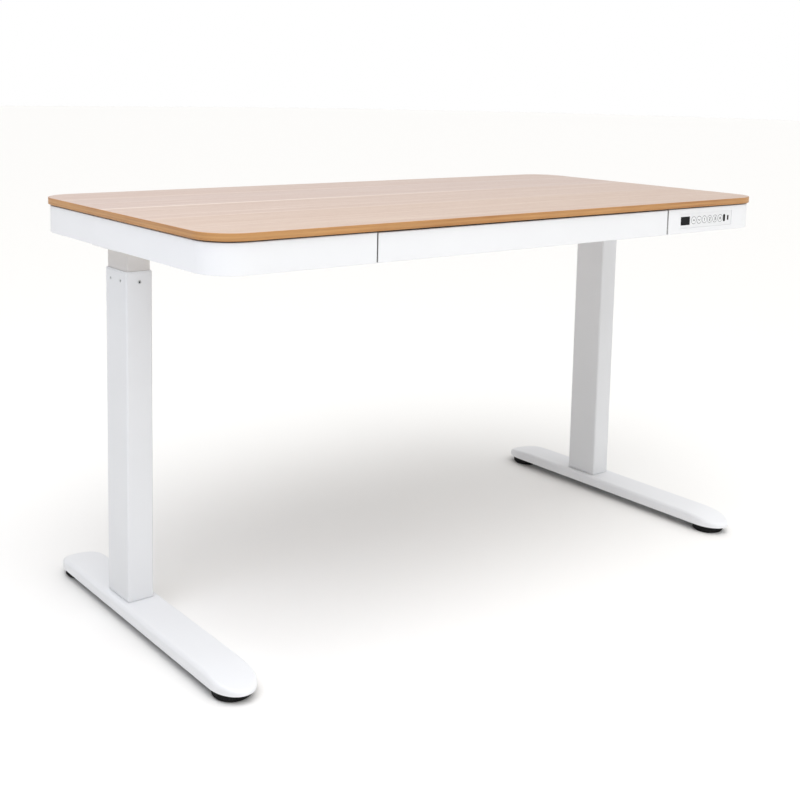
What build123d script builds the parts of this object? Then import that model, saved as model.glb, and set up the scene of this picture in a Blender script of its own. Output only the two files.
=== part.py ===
from build123d import *

import os

# Electric height adjustable desk: a board on a steel apron with a shallow drawer, on two telescopic legs.
# Millimetres. X runs along the desk, the front faces -Y, Z is up, and the origin lies on the floor
# under the centre of the board. The legs are drawn at their lowest.

# ---- driving dimensions ----
DESK_WIDTH = 1200.0
DESK_DEPTH = 600.0
DESK_HEIGHT = 668.0
BOARD_THICKNESS = 11.0
BOARD_CORNER_R = 58.0
EDGE_BAND = 1.2
EDGE_BAND_ROUND = 0.7
EDGE_BAND_CHAMFER = 0.5
SHADOW_GAP = 2.0
APRON_HEIGHT = 45.4
APRON_INSET = 3.5
SHEET = 1.5
LIFT_TRAVEL = 450.0

LEG_X = 544.0
LEG_Y = 68.0
OUTER_TUBE = (45.0, 75.0)
INNER_TUBE = (40.0, 70.0)
OUTER_WALL = 1.6
INNER_WALL = 1.8
TUBE_TOP = 568.0
FOOT_TOP = 33.0
FOOT_BOTTOM = 14.0
FOOT_WIDTH = 68.0
FOOT_LENGTH = 600.0
GLIDE_Y = 258.0
GLIDE_R = 30.0
GLIDE_SOLE_R = 2.0
GLIDE_RIM_R = 1.0
DRAWER_WIDTH = 651.0
DRAWER_GAP = 3.0

# ---- heights and edges worked out from them ----
BOARD_BOTTOM = DESK_HEIGHT - BOARD_THICKNESS
APRON_TOP = BOARD_BOTTOM - SHADOW_GAP
APRON_BOTTOM = APRON_TOP - APRON_HEIGHT
APRON_MID = (APRON_TOP + APRON_BOTTOM) / 2
APRON_WIDTH = DESK_WIDTH - 2 * APRON_INSET
APRON_DEPTH = DESK_DEPTH - 2 * APRON_INSET
APRON_CORNER_R = BOARD_CORNER_R - APRON_INSET
FRONT_Y = -APRON_DEPTH / 2
REAR_Y = APRON_DEPTH / 2
FRONT_BACK_Y = FRONT_Y + SHEET
SIDES = {"left": -1, "right": 1}
CUT = 1.0  # how far a cutting shape runs past the face that it opens

# ---- apron ----
TOP_FLANGE = 18.0
BOTTOM_FLANGE = 12.0
APRON_EDGE_R = 1.3
REAR_SEAM_X = 300.0
REAR_SEAM = 0.6
SPACER_INSET = 6.0
SPACER_WIDTH = 10.0

# ---- feet ----
FOOT_SHEET = 2.5
FOOT_END = 48.0
FOOT_EDGE_R = 6.0
TIP_START = 220.0
TIP_DROP = 12.0
STIFFENER_WIDTH = 46.0
STIFFENER_LENGTH = 536.0
STIFFENER_WEB = (22.5, 25.5)
STIFFENER_LOW = 15.5
SEAM_HEIGHT = 1.5
PLATE_INNER_THICKNESS = 8.0
PLATE_CLEARANCE = 0.2
FOOT_BOLT_X = 12.0
FOOT_BOLT_Y = 24.0
M8_R = 4.0
M8_HEAD_R = 6.5
M8_HEAD = 5.5
HEX_SOCKET_R = 3.6
HEX_SOCKET_DEPTH = 3.3
BOLT_END_COVER = 1.0
HOLE_CLEARANCE = 0.3
THREAD_CLEARANCE = 0.05
INSERT_R = 8.0
INSERT_NECK_R = 6.5
INSERT_LOW = 17.0
STUD_TOP = 25.0
COLLAR_R = 9.0

# ---- legs ----
TUBE_CORNER_R = 4.0
INNER_CORNER_R = 3.0
INNER_LOW = 48.0
SLEEVE_LOW = 472.0
SLEEVE_LIP = 2.0
SLEEVE_GAP = 0.1
SIDE_SCREW_DY = 17.5
SIDE_SCREW_Z = 554.0
FRONT_SCREW_Z = 553.0
SIDE_SCREW_R = 2.2
FRONT_SCREW_R = 3.2
SCREW_HEAD = 0.9
SCREW_DOME_R = 0.7
SCREW_SHANK_R = 1.5
SCREW_SHANK = 2.0

# ---- lifting drive ----
SPINDLE_R = 7.0
SPINDLE_LOW = 50.0
RUNNING_GAP = 0.08
NUT_TUBE_R = 14.0
NUT_TUBE_WALL = 2.0
NUT_LOW = 435.0
NUT_SHOULDER = 455.0
NUT_TOP = 485.0
SPINDLE_HOLE_R = 10.0
GEARBOX = (50.0, 60.0, 36.0)
GEARBOX_EDGE_R = 3.0
SPINDLE_END_IN_GEARBOX = 20.0
SHAFT_R = 5.0
SHAFT_IN_GEARBOX = 15.0
SHAFT_END_GAP = 0.5
MOTOR_R = 18.0
MOTOR_LENGTH = 90.0
MOTOR_EDGE_R = 2.0
MOTOR_CAP = 12.0
MOTOR_CAP_R = 8.1
MOTOR_CLEARANCE = 0.4

# ---- under-frame ----
RAIL_OUTER_X = 592.0
RAIL_INNER_X = 505.0
RAIL_LENGTH = 480.0
RAIL_SHEET = 2.5
MOUNT_PLATE = (80.0, 100.0)
MOUNT_PLATE_BELOW = 5.0
LEG_BOLT_X = 30.0
LEG_BOLT_Y = 42.0
BEAM_HALF_X = 518.0
BEAM_DEPTH = 50.0
BEAM_CORNER_R = 2.0
BOARD_SCREW_X = 515.0
BOARD_SCREW_YS = (-220.0, -120.0, 150.0, 225.0)
BOARD_SCREW_R = 2.0
BOARD_SCREW_HEAD_R = 4.0
BOARD_SCREW_HEAD = 2.4
BOARD_SCREW_DOME_R = 1.2
BOARD_SCREW_DEPTH = 8.0

# ---- drawer ----
FRONT_PAN = 16.0
FRONT_TOP_GAP = 0.6
TRAY_HALF_X = 298.0
TRAY_REAR_Y = -30.0
TRAY_LOW = APRON_BOTTOM + 5.0
TRAY_TOP = APRON_TOP - 9.0
TRAY_SHEET = 1.2
SLIDE_THICKNESS = 5.0
SLIDE_Z = (622.0, 636.0)
SLIDE_ENDS = 4.0
RUNNER_PLAY = 0.5
RUNNER_SHEET = 2.0
RUNNER_FLANGE = 15.0

# ---- control panel ----
PANEL_X = (362.0, 513.0)
PANEL_HALF_Z = 13.8
PANEL_RECESS = 0.8
PANEL_FLANGE = 4.0
PANEL_FIT = 0.2
BUTTON_FIRST_X = 401.0
BUTTON_PITCH = 15.6
BUTTON_COUNT = 6
BUTTON_R = 6.2
BUTTON_HOLE_R = 6.5
BUTTON_PROUD = 0.4
BUTTON_EDGE_R = 0.35
BUTTON_FLANGE_R = 7.2
BUTTON_FLANGE = (0.1, 0.9)
BUTTON_STEM_R = 2.5
BUTTON_STEM_GAP = 1.0
BOARD_Y = FRONT_Y + 8.5
CIRCUIT_THICKNESS = 1.6
DISPLAY_X = (363.6, 389.4)
DISPLAY_HALF_Z = 7.8
DISPLAY_PROUD = 0.2
DISPLAY_BACK = 1.5
DISPLAY_CORNER_R = 0.8
# each socket: centre X, width, height, sheet, and its tongue's width, height and offset
USB_A = (491.2, 4.8, 12.0, 0.4, (1.6, 9.0, 0.6))
USB_C = (502.6, 3.2, 8.6, 0.35, (0.8, 6.4, 0.0))
PORT_DEPTH = 14.0
PORT_BACK = 1.5
TONGUE_SETBACK = 1.0

# ---- power and wiring ----
CONTROL_BOX = (220.0, 80.0, 34.0)
CONTROL_BOX_Y = 190.0
CONTROL_BOX_EDGE_R = 3.0
INLET_X = 60.0
INLET_SIZE = (27.0, 20.0, 18.0)
INLET_RECESS = (24.0, 17.0, 15.0)
INLET_FLANGE = (34.0, 26.0, 2.0)
INLET_FLANGE_CORNER_R = 3.0
INLET_PINS = ((-7.0, -1.0), (7.0, -1.0), (0.0, 4.5))
INLET_PIN_HALF = (1.0, 2.0)
INLET_PIN_SETBACK = 2.0
MOTOR_CABLE_R = 3.0
MOTOR_CABLE_LANE = 6.0
MOTOR_CABLE_STEP_XS = (90.0, 42.0)
MOTOR_CABLE_STEP_Y = 10.0
MOTOR_CABLE_BENDS = [60.0, 60.0, 8.0]
PANEL_CABLE_R = 2.0
PANEL_CABLE_BELOW_BOARD = 3.0
PANEL_CABLE_EXIT_Y = 170.0
PANEL_CABLE_LANE_X = 431.2
PANEL_CABLE_DROP_YS = (53.0, 26.0)
PANEL_CABLE_END_Z = 8.0
PANEL_CABLE_BENDS = [60.0, 20.0, 20.0]


def block(x, y, z):
    """A box between the given pairs of X, Y and Z limits."""
    size = Box(x[1] - x[0], y[1] - y[0], z[1] - z[0])
    return Pos((x[0] + x[1]) / 2, (y[0] + y[1]) / 2, (z[0] + z[1]) / 2) * size


def rod(x, y, z, radius):
    """A vertical cylinder between two heights."""
    return Pos(x, y, (z[0] + z[1]) / 2) * Cylinder(radius, z[1] - z[0])


def rod_x(x, y, z, radius):
    """A cylinder along X."""
    return Pos((x[0] + x[1]) / 2, y, z) * Rot(0, 90, 0) * Cylinder(radius, x[1] - x[0])


def rod_y(x, y, z, radius):
    """A cylinder along Y."""
    return Pos(x, (y[0] + y[1]) / 2, z) * Rot(90, 0, 0) * Cylinder(radius, y[1] - y[0])


def rounded_slab(width, depth, radius, z):
    """A rounded rectangle about the desk's centre, raised between two heights."""
    return Pos(0, 0, z[0]) * extrude(RectangleRounded(width, depth, radius), z[1] - z[0])


def tube(size, wall, radius, z):
    """A rounded rectangular tube about the origin."""
    inner = (size[0] - 2 * wall, size[1] - 2 * wall)
    bore = rounded_slab(inner[0], inner[1], radius - wall, (z[0] - CUT, z[1] + CUT))
    return rounded_slab(size[0], size[1], radius, z) - bore


def at_leg(side, shape):
    """Moves a shape drawn about the leg's axis to the left or right leg, mirrored on the right."""
    if side == "right":
        shape = mirror(shape, Plane.YZ)
    return Pos(SIDES[side] * LEG_X, LEG_Y, 0) * shape


# ---------------------------------------------------------------- board
def board_parts():
    core = rounded_slab(DESK_WIDTH - 2 * EDGE_BAND, DESK_DEPTH - 2 * EDGE_BAND, BOARD_CORNER_R - EDGE_BAND,
                        (BOARD_BOTTOM, DESK_HEIGHT))
    band = rounded_slab(DESK_WIDTH, DESK_DEPTH, BOARD_CORNER_R, (BOARD_BOTTOM, DESK_HEIGHT))
    band = fillet(band.edges().group_by(Axis.Z)[-1], EDGE_BAND_ROUND)
    band = chamfer(band.edges().group_by(Axis.Z)[0], EDGE_BAND_CHAMFER)
    band -= core
    for side in SIDES:
        for y in BOARD_SCREW_YS:
            core -= rod(SIDES[side] * BOARD_SCREW_X, y,
                        (BOARD_BOTTOM - CUT, BOARD_BOTTOM + BOARD_SCREW_DEPTH),
                        BOARD_SCREW_R)
    spacer_outer = 2 * SPACER_INSET
    spacer_inner = spacer_outer + 2 * SPACER_WIDTH
    spacer = rounded_slab(APRON_WIDTH - spacer_outer, APRON_DEPTH - spacer_outer,
                          APRON_CORNER_R - SPACER_INSET, (APRON_TOP, BOARD_BOTTOM))
    spacer -= rounded_slab(APRON_WIDTH - spacer_inner, APRON_DEPTH - spacer_inner,
                           APRON_CORNER_R - SPACER_INSET - SPACER_WIDTH,
                           (APRON_TOP - CUT, BOARD_BOTTOM + CUT))
    return {"desktop_board": core, "edge_band": band, "shadow_spacer": spacer}


# ---------------------------------------------------------------- apron
def apron_ring():
    """The folded sheet all round: an outer wall with flanges turned in at the top and bottom."""
    ring = rounded_slab(APRON_WIDTH, APRON_DEPTH, APRON_CORNER_R, (APRON_BOTTOM, APRON_TOP))
    ring = fillet(ring.edges().group_by(Axis.Z)[0] + ring.edges().group_by(Axis.Z)[-1], APRON_EDGE_R)
    for inset, z in (
        (SHEET, (APRON_BOTTOM + SHEET, APRON_TOP - SHEET)),
        (TOP_FLANGE, (APRON_MID, APRON_TOP + CUT)),
        (BOTTOM_FLANGE, (APRON_BOTTOM - CUT, APRON_MID)),
    ):
        ring -= rounded_slab(APRON_WIDTH - 2 * inset, APRON_DEPTH - 2 * inset, APRON_CORNER_R - inset, z)
    return ring


def apron_parts():
    ring = apron_ring()
    z = (APRON_BOTTOM - CUT, APRON_TOP + CUT)
    far_x = DESK_WIDTH
    front_edge = DRAWER_WIDTH / 2 + DRAWER_GAP
    seam = REAR_SEAM_X + REAR_SEAM / 2
    parts = {}
    for side in SIDES:
        front_half = block((front_edge, far_x), (-DESK_DEPTH, 0), z)
        rear_half = block((seam, far_x), (0, DESK_DEPTH), z)
        keep = front_half + rear_half
        if side == "left":
            keep = mirror(keep, Plane.YZ)
        parts[side + "_apron"] = ring & keep
    parts["right_apron"] -= block(PANEL_X, (FRONT_Y - CUT, FRONT_BACK_Y + CUT),
                                  (APRON_MID - PANEL_HALF_Z, APRON_MID + PANEL_HALF_Z))
    rear_x = REAR_SEAM_X - REAR_SEAM / 2
    rear = ring & block((-rear_x, rear_x), (0, DESK_DEPTH), z)
    rear -= block((INLET_X - INLET_SIZE[0] / 2, INLET_X + INLET_SIZE[0] / 2),
                  (REAR_Y - SHEET - CUT, REAR_Y + CUT),
                  (APRON_MID - INLET_SIZE[1] / 2, APRON_MID + INLET_SIZE[1] / 2))
    parts["rear_apron"] = rear
    return parts


# ---------------------------------------------------------------- feet
def foot_plan(inset, z):
    """The foot's outline, a bar with half-ellipse ends, raised between two heights."""
    straight = FOOT_LENGTH - 2 * FOOT_END
    half = FOOT_WIDTH / 2 - inset
    plan = Rectangle(2 * half, straight)
    for end in (-1, 1):
        plan += Pos(0, end * straight / 2) * Ellipse(half, FOOT_END - inset)
    return Pos(0, 0, z[0]) * extrude(plan, z[1] - z[0])


def foot_side_profile(lower):
    """The foot seen from the side, its top curving down to both tips, as a solid across the foot."""
    tip_y = FOOT_LENGTH / 2
    top = FOOT_TOP - lower
    tip = top - TIP_DROP
    outline = [
        Line((-TIP_START, top), (TIP_START, top)),
        TangentArc((TIP_START, top), (tip_y, tip), tangent=(1, 0)),
        Polyline((tip_y, tip), (tip_y, 0), (-tip_y, 0), (-tip_y, tip)),
        TangentArc((-TIP_START, top), (-tip_y, tip), tangent=(-1, 0)),
    ]
    face = Plane.YZ * make_face(outline)
    return extrude(face, FOOT_WIDTH, both=True)


def foot_shell():
    outer = foot_plan(0, (FOOT_BOTTOM, FOOT_TOP)) & foot_side_profile(0)
    low_rim = FOOT_TOP - TIP_DROP - FOOT_SHEET
    rim = outer.edges().filter_by(lambda e: e.bounding_box().min.Z > low_rim)
    rim = rim.filter_by(lambda e: e.bounding_box().size.Y > CUT)
    outer = fillet(rim, FOOT_EDGE_R)
    cavity = foot_plan(FOOT_SHEET, (FOOT_BOTTOM - CUT, FOOT_TOP)) & foot_side_profile(FOOT_SHEET)
    return outer - cavity


def foot_bolt_places():
    return [(x, y) for x in (-FOOT_BOLT_X, FOOT_BOLT_X) for y in (-FOOT_BOLT_Y, FOOT_BOLT_Y)]


def foot_parts():
    parts = {}
    shell = foot_shell()
    half = STIFFENER_WIDTH / 2
    long = STIFFENER_LENGTH / 2
    stiffener = block((-half, half), (-long, long), (STIFFENER_LOW, STIFFENER_WEB[1]))
    stiffener -= block((-half + FOOT_SHEET, half - FOOT_SHEET), (-long - CUT, long + CUT),
                       (STIFFENER_LOW - CUT, STIFFENER_WEB[0]))
    for x, y in foot_bolt_places():
        hole = rod(x, y + LEG_Y, (STIFFENER_LOW, FOOT_TOP + CUT), M8_R + HOLE_CLEARANCE)
        shell -= hole
        stiffener -= hole
    insert = rod(0, 0, (INSERT_LOW, STIFFENER_WEB[0]), INSERT_R)
    insert += rod(0, 0, STIFFENER_WEB, INSERT_NECK_R)
    insert -= rod(0, 0, (INSERT_LOW - CUT, STIFFENER_WEB[1] + CUT), M8_R + THREAD_CLEARANCE)
    inserts = []
    for y in (-GLIDE_Y, GLIDE_Y):
        stiffener -= rod(0, y, (STIFFENER_LOW, FOOT_TOP), INSERT_NECK_R)
    for side, sign in SIDES.items():
        parts[side + "_foot_shell"] = Pos(sign * LEG_X, 0, 0) * shell
        parts[side + "_foot_stiffener"] = Pos(sign * LEG_X, 0, 0) * stiffener
        inserts += [Pos(sign * LEG_X, y, 0) * insert for y in (-GLIDE_Y, GLIDE_Y)]
    parts["glide_inserts"] = Compound(children=inserts)
    return parts


def glide():
    """A screw glide: a wide round pad with a hexagonal collar and a threaded stud."""
    pad = rod(0, 0, (0, FOOT_BOTTOM), GLIDE_R)
    pad = fillet(pad.edges().group_by(Axis.Z)[0], GLIDE_SOLE_R)
    pad = fillet(pad.edges().group_by(Axis.Z)[-1], GLIDE_RIM_R)
    collar = Pos(0, 0, FOOT_BOTTOM) * extrude(RegularPolygon(COLLAR_R, 6), INSERT_LOW - FOOT_BOTTOM)
    stud = rod(0, 0, (INSERT_LOW, STUD_TOP), M8_R)
    return pad + collar + stud


def glide_parts():
    parts = {}
    for side, sign in SIDES.items():
        for name, y in (("front", -GLIDE_Y), ("rear", GLIDE_Y)):
            parts[f"{side}_{name}_glide"] = Pos(sign * LEG_X, y, 0) * glide()
    return parts


# ---------------------------------------------------------------- legs
def sleeve_screw_axes():
    """Each guide screw on a leg: the point on the tube's face, the way in, and the head's radius."""
    face_x = -OUTER_TUBE[0] / 2
    face_y = -OUTER_TUBE[1] / 2
    return [
        ("side", (face_x, -SIDE_SCREW_DY, SIDE_SCREW_Z), SIDE_SCREW_R),
        ("side", (face_x, SIDE_SCREW_DY, SIDE_SCREW_Z), SIDE_SCREW_R),
        ("front", (0, face_y, FRONT_SCREW_Z), FRONT_SCREW_R),
    ]


def guide_screw(kind, place, head_r):
    x, y, z = place
    if kind == "side":
        head = rod_x((x - SCREW_HEAD, x), y, z, head_r)
        head = fillet(head.edges().group_by(Axis.X)[0], SCREW_DOME_R)
        return head + rod_x((x, x + SCREW_SHANK), y, z, SCREW_SHANK_R)
    head = rod_y(x, (y - SCREW_HEAD, y), z, head_r)
    head = fillet(head.edges().group_by(Axis.Y)[0], SCREW_DOME_R)
    return head + rod_y(x, (y, y + SCREW_SHANK), z, SCREW_SHANK_R)


def base_leg(side):
    tube_low = FOOT_TOP + SEAM_HEIGHT
    outer = tube(OUTER_TUBE, OUTER_WALL, TUBE_CORNER_R, (tube_low, TUBE_TOP))
    bore = (OUTER_TUBE[0] - 2 * OUTER_WALL, OUTER_TUBE[1] - 2 * OUTER_WALL)
    bore_r = TUBE_CORNER_R - OUTER_WALL
    passage = (INNER_TUBE[0] + 2 * SLEEVE_GAP, INNER_TUBE[1] + 2 * SLEEVE_GAP)
    sleeve = rounded_slab(bore[0], bore[1], bore_r, (SLEEVE_LOW, TUBE_TOP))
    sleeve += rounded_slab(OUTER_TUBE[0] - OUTER_WALL, OUTER_TUBE[1] - OUTER_WALL, bore_r,
                           (TUBE_TOP, TUBE_TOP + SLEEVE_LIP))
    sleeve -= rounded_slab(passage[0], passage[1], INNER_CORNER_R + SLEEVE_GAP,
                           (SLEEVE_LOW - CUT, TUBE_TOP + SLEEVE_LIP + CUT))
    screws = []
    for kind, place, head_r in sleeve_screw_axes():
        screw = guide_screw(kind, place, head_r)
        screws.append(screw)
        outer -= screw
        sleeve -= screw
    plate_size = (bore[0] - PLATE_CLEARANCE, bore[1] - PLATE_CLEARANCE)
    plate_top = tube_low + PLATE_INNER_THICKNESS
    plate = rounded_slab(plate_size[0], plate_size[1], bore_r, (FOOT_TOP, plate_top))
    bolts = []
    for x, y in foot_bolt_places():
        head_low = STIFFENER_WEB[0] - M8_HEAD
        bolt = rod(x, y, (head_low, STIFFENER_WEB[0]), M8_HEAD_R)
        bolt -= Pos(x, y, head_low) * extrude(RegularPolygon(HEX_SOCKET_R, 6), HEX_SOCKET_DEPTH)
        bolts.append(bolt + rod(x, y, (STIFFENER_WEB[0], plate_top - BOLT_END_COVER), M8_R))
        plate -= rod(x, y, (FOOT_TOP - CUT, plate_top - BOLT_END_COVER), M8_R)
    nut_tube = rod(0, 0, (plate_top, NUT_SHOULDER), NUT_TUBE_R)
    nut_tube -= rod(0, 0, (plate_top - CUT, NUT_SHOULDER + CUT), NUT_TUBE_R - NUT_TUBE_WALL)
    nut = rod(0, 0, (NUT_LOW, NUT_SHOULDER), NUT_TUBE_R - NUT_TUBE_WALL)
    nut += rod(0, 0, (NUT_SHOULDER, NUT_TOP), NUT_TUBE_R)
    nut -= rod(0, 0, (NUT_LOW - CUT, NUT_TOP + CUT), SPINDLE_R + RUNNING_GAP)
    shapes = {"outer_tube": outer, "tube_base_plate": plate}
    groups = {"guide_sleeves": [sleeve], "sleeve_screws": screws, "foot_bolts": bolts,
              "nut_tubes": [nut_tube],
              "spindle_nuts": [nut]}
    parts = {f"{side}_{name}": at_leg(side, shape) for name, shape in shapes.items()}
    return parts, {name: [at_leg(side, s) for s in solids] for name, solids in groups.items()}


def top_leg(side):
    rail_floor = APRON_BOTTOM + SHEET + RAIL_SHEET
    plate_low = APRON_BOTTOM - MOUNT_PLATE_BELOW
    plate_top = APRON_BOTTOM + SHEET
    inner = tube(INNER_TUBE, INNER_WALL, INNER_CORNER_R, (INNER_LOW, plate_low))
    plate = rounded_slab(MOUNT_PLATE[0], MOUNT_PLATE[1], TUBE_CORNER_R, (plate_low, plate_top))
    plate -= rod(0, 0, (plate_low - CUT, plate_top + CUT), SPINDLE_HOLE_R)
    gearbox = block((-GEARBOX[0] / 2, GEARBOX[0] / 2), (-GEARBOX[1] / 2, GEARBOX[1] / 2),
                    (rail_floor, rail_floor + GEARBOX[2]))
    gearbox = fillet(gearbox.edges().filter_by(Axis.Z), GEARBOX_EDGE_R)
    gearbox -= rod(0, 0, (rail_floor - CUT, rail_floor + SPINDLE_END_IN_GEARBOX + CUT),
                   SPINDLE_R + RUNNING_GAP)
    gearbox -= rod_x((GEARBOX[0] / 2 - SHAFT_IN_GEARBOX - SHAFT_END_GAP, GEARBOX[0]), 0, APRON_MID,
                     SHAFT_R + RUNNING_GAP)
    bolts = []
    for x in (-LEG_BOLT_X, LEG_BOLT_X):
        for y in (-LEG_BOLT_Y, LEG_BOLT_Y):
            plate -= rod(x, y, (plate_low - CUT, plate_top + CUT), M8_R)
            head = Pos(x, y, rail_floor) * extrude(RegularPolygon(M8_HEAD_R, 6), M8_HEAD)
            bolts.append(head + rod(x, y, (plate_low, rail_floor), M8_R))
    spindle = rod(0, 0, (SPINDLE_LOW, rail_floor + SPINDLE_END_IN_GEARBOX), SPINDLE_R)
    shapes = {"inner_tube": inner, "mount_plate": plate, "gearbox": gearbox, "spindle": spindle}
    parts = {f"{side}_{name}": at_leg(side, shape) for name, shape in shapes.items()}
    return parts, {"leg_bolts": [at_leg(side, b) for b in bolts]}


def side_rail(side):
    """A channel open towards the middle of the desk, which the leg's plate bolts to."""
    z = (APRON_BOTTOM + SHEET, APRON_TOP - SHEET)
    y = (-RAIL_LENGTH / 2, RAIL_LENGTH / 2)
    rail = block((-RAIL_OUTER_X, -RAIL_INNER_X), y, z)
    rail -= block((-RAIL_OUTER_X + RAIL_SHEET, -RAIL_INNER_X + CUT), (y[0] - CUT, y[1] + CUT),
                  (z[0] + RAIL_SHEET, z[1] - RAIL_SHEET))
    floor_hole = (z[0] - CUT, z[0] + RAIL_SHEET + CUT)
    rail -= rod(-LEG_X, LEG_Y, floor_hole, SPINDLE_HOLE_R)
    for x in (-LEG_BOLT_X, LEG_BOLT_X):
        for bolt_y in (-LEG_BOLT_Y, LEG_BOLT_Y):
            rail -= rod(x - LEG_X, bolt_y + LEG_Y, floor_hole, M8_R + HOLE_CLEARANCE)
    for screw_y in BOARD_SCREW_YS:
        rail -= rod(-BOARD_SCREW_X, screw_y, (z[1] - RAIL_SHEET - CUT, z[1] + CUT),
                    BOARD_SCREW_R + HOLE_CLEARANCE)
    return mirror(rail, Plane.YZ) if side == "right" else rail


def board_screws():
    under_rail = APRON_TOP - SHEET - RAIL_SHEET
    screws = []
    for sign in SIDES.values():
        for y in BOARD_SCREW_YS:
            head = rod(sign * BOARD_SCREW_X, y, (under_rail - BOARD_SCREW_HEAD, under_rail),
                       BOARD_SCREW_HEAD_R)
            head = fillet(head.edges().group_by(Axis.Z)[0], BOARD_SCREW_DOME_R)
            shank = rod(sign * BOARD_SCREW_X, y, (under_rail, BOARD_BOTTOM + BOARD_SCREW_DEPTH),
                        BOARD_SCREW_R)
            screws.append(head + shank)
    return Compound(children=screws)


def drive_parts():
    rail_floor = APRON_BOTTOM + SHEET + RAIL_SHEET
    rail_ceiling = APRON_TOP - SHEET - RAIL_SHEET
    beam_y = (LEG_Y - BEAM_DEPTH / 2, LEG_Y + BEAM_DEPTH / 2)
    beam = block((-BEAM_HALF_X, BEAM_HALF_X), beam_y, (rail_floor, rail_ceiling))
    beam = fillet(beam.edges().filter_by(Axis.X), BEAM_CORNER_R)
    beam -= block((-BEAM_HALF_X - CUT, BEAM_HALF_X + CUT), (beam_y[0] + SHEET, beam_y[1] - SHEET),
                  (rail_floor + SHEET, rail_ceiling - SHEET))
    shaft_half = LEG_X - GEARBOX[0] / 2 + SHAFT_IN_GEARBOX
    shaft = rod_x((-shaft_half, shaft_half), LEG_Y, APRON_MID, SHAFT_R)
    motor_low = LEG_Y + GEARBOX[1] / 2
    motor_z = rail_floor + MOTOR_R + MOTOR_CLEARANCE
    motor = rod_y(-LEG_X, (motor_low, motor_low + MOTOR_LENGTH), motor_z, MOTOR_R)
    motor = fillet(motor.edges().group_by(Axis.Y)[-1], MOTOR_EDGE_R)
    cap_y = motor_low + MOTOR_LENGTH
    motor += rod_y(-LEG_X, (cap_y, cap_y + MOTOR_CAP), motor_z, MOTOR_CAP_R)
    return {"crossbeam": beam, "drive_shaft": shaft, "lift_motor": motor}


# ---------------------------------------------------------------- drawer
def drawer_parts():
    half = DRAWER_WIDTH / 2
    z = (APRON_BOTTOM, APRON_TOP - FRONT_TOP_GAP)
    pan_back = FRONT_Y + FRONT_PAN
    front = block((-half, half), (FRONT_Y, pan_back), z)
    front = fillet(front.faces().sort_by(Axis.Y)[0].edges(), APRON_EDGE_R)
    front -= block((-half + SHEET, half - SHEET), (FRONT_Y + SHEET, pan_back + CUT),
                   (z[0] + SHEET, z[1] - SHEET))
    tray = block((-TRAY_HALF_X, TRAY_HALF_X), (pan_back, TRAY_REAR_Y), (TRAY_LOW, TRAY_TOP))
    inner_x = TRAY_HALF_X - TRAY_SHEET
    tray -= block((-inner_x, inner_x), (pan_back + TRAY_SHEET, TRAY_REAR_Y - TRAY_SHEET),
                  (TRAY_LOW + TRAY_SHEET, TRAY_TOP + CUT))
    parts = {"drawer_front": front, "drawer_tray": tray}
    slide_y = (pan_back + SLIDE_ENDS, TRAY_REAR_Y - SLIDE_ENDS)
    slide = block((TRAY_HALF_X, TRAY_HALF_X + SLIDE_THICKNESS), slide_y, SLIDE_Z)
    web_x = TRAY_HALF_X + SLIDE_THICKNESS + RUNNER_PLAY
    lip_z = (SLIDE_Z[0] - RUNNER_PLAY, SLIDE_Z[1] + RUNNER_PLAY)
    runner = block((web_x, web_x + RUNNER_SHEET), slide_y, (lip_z[0] - RUNNER_SHEET, BOARD_BOTTOM))
    runner += block((web_x, web_x + RUNNER_SHEET + RUNNER_FLANGE), slide_y,
                    (BOARD_BOTTOM - RUNNER_SHEET, BOARD_BOTTOM))
    lip_x = (TRAY_HALF_X + RUNNER_PLAY, web_x)
    runner += block(lip_x, slide_y, (lip_z[0] - RUNNER_SHEET, lip_z[0]))
    runner += block(lip_x, slide_y, (lip_z[1], lip_z[1] + RUNNER_SHEET))
    for side in SIDES:
        flip = side == "left"
        parts[side + "_drawer_slide"] = mirror(slide, Plane.YZ) if flip else slide
        parts[side + "_drawer_runner"] = mirror(runner, Plane.YZ) if flip else runner
    return parts


# ---------------------------------------------------------------- control panel
def button_x(index):
    return BUTTON_FIRST_X + index * BUTTON_PITCH


def port(centre_x, width, height, wall, tongue):
    """A socket's metal shell with its contact tongue, open to the front."""
    front = FRONT_Y + PANEL_RECESS
    back = front + PORT_DEPTH - PORT_BACK
    x = (centre_x - width / 2, centre_x + width / 2)
    z = (APRON_MID - height / 2, APRON_MID + height / 2)
    shell = block(x, (front, front + PORT_DEPTH), z)
    shell -= block((x[0] + wall, x[1] - wall), (front - CUT, back), (z[0] + wall, z[1] - wall))
    shell += block((centre_x - tongue[0] / 2 + tongue[2], centre_x + tongue[0] / 2 + tongue[2]),
                   (front + TONGUE_SETBACK, back), (APRON_MID - tongue[1] / 2, APRON_MID + tongue[1] / 2))
    return shell


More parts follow.
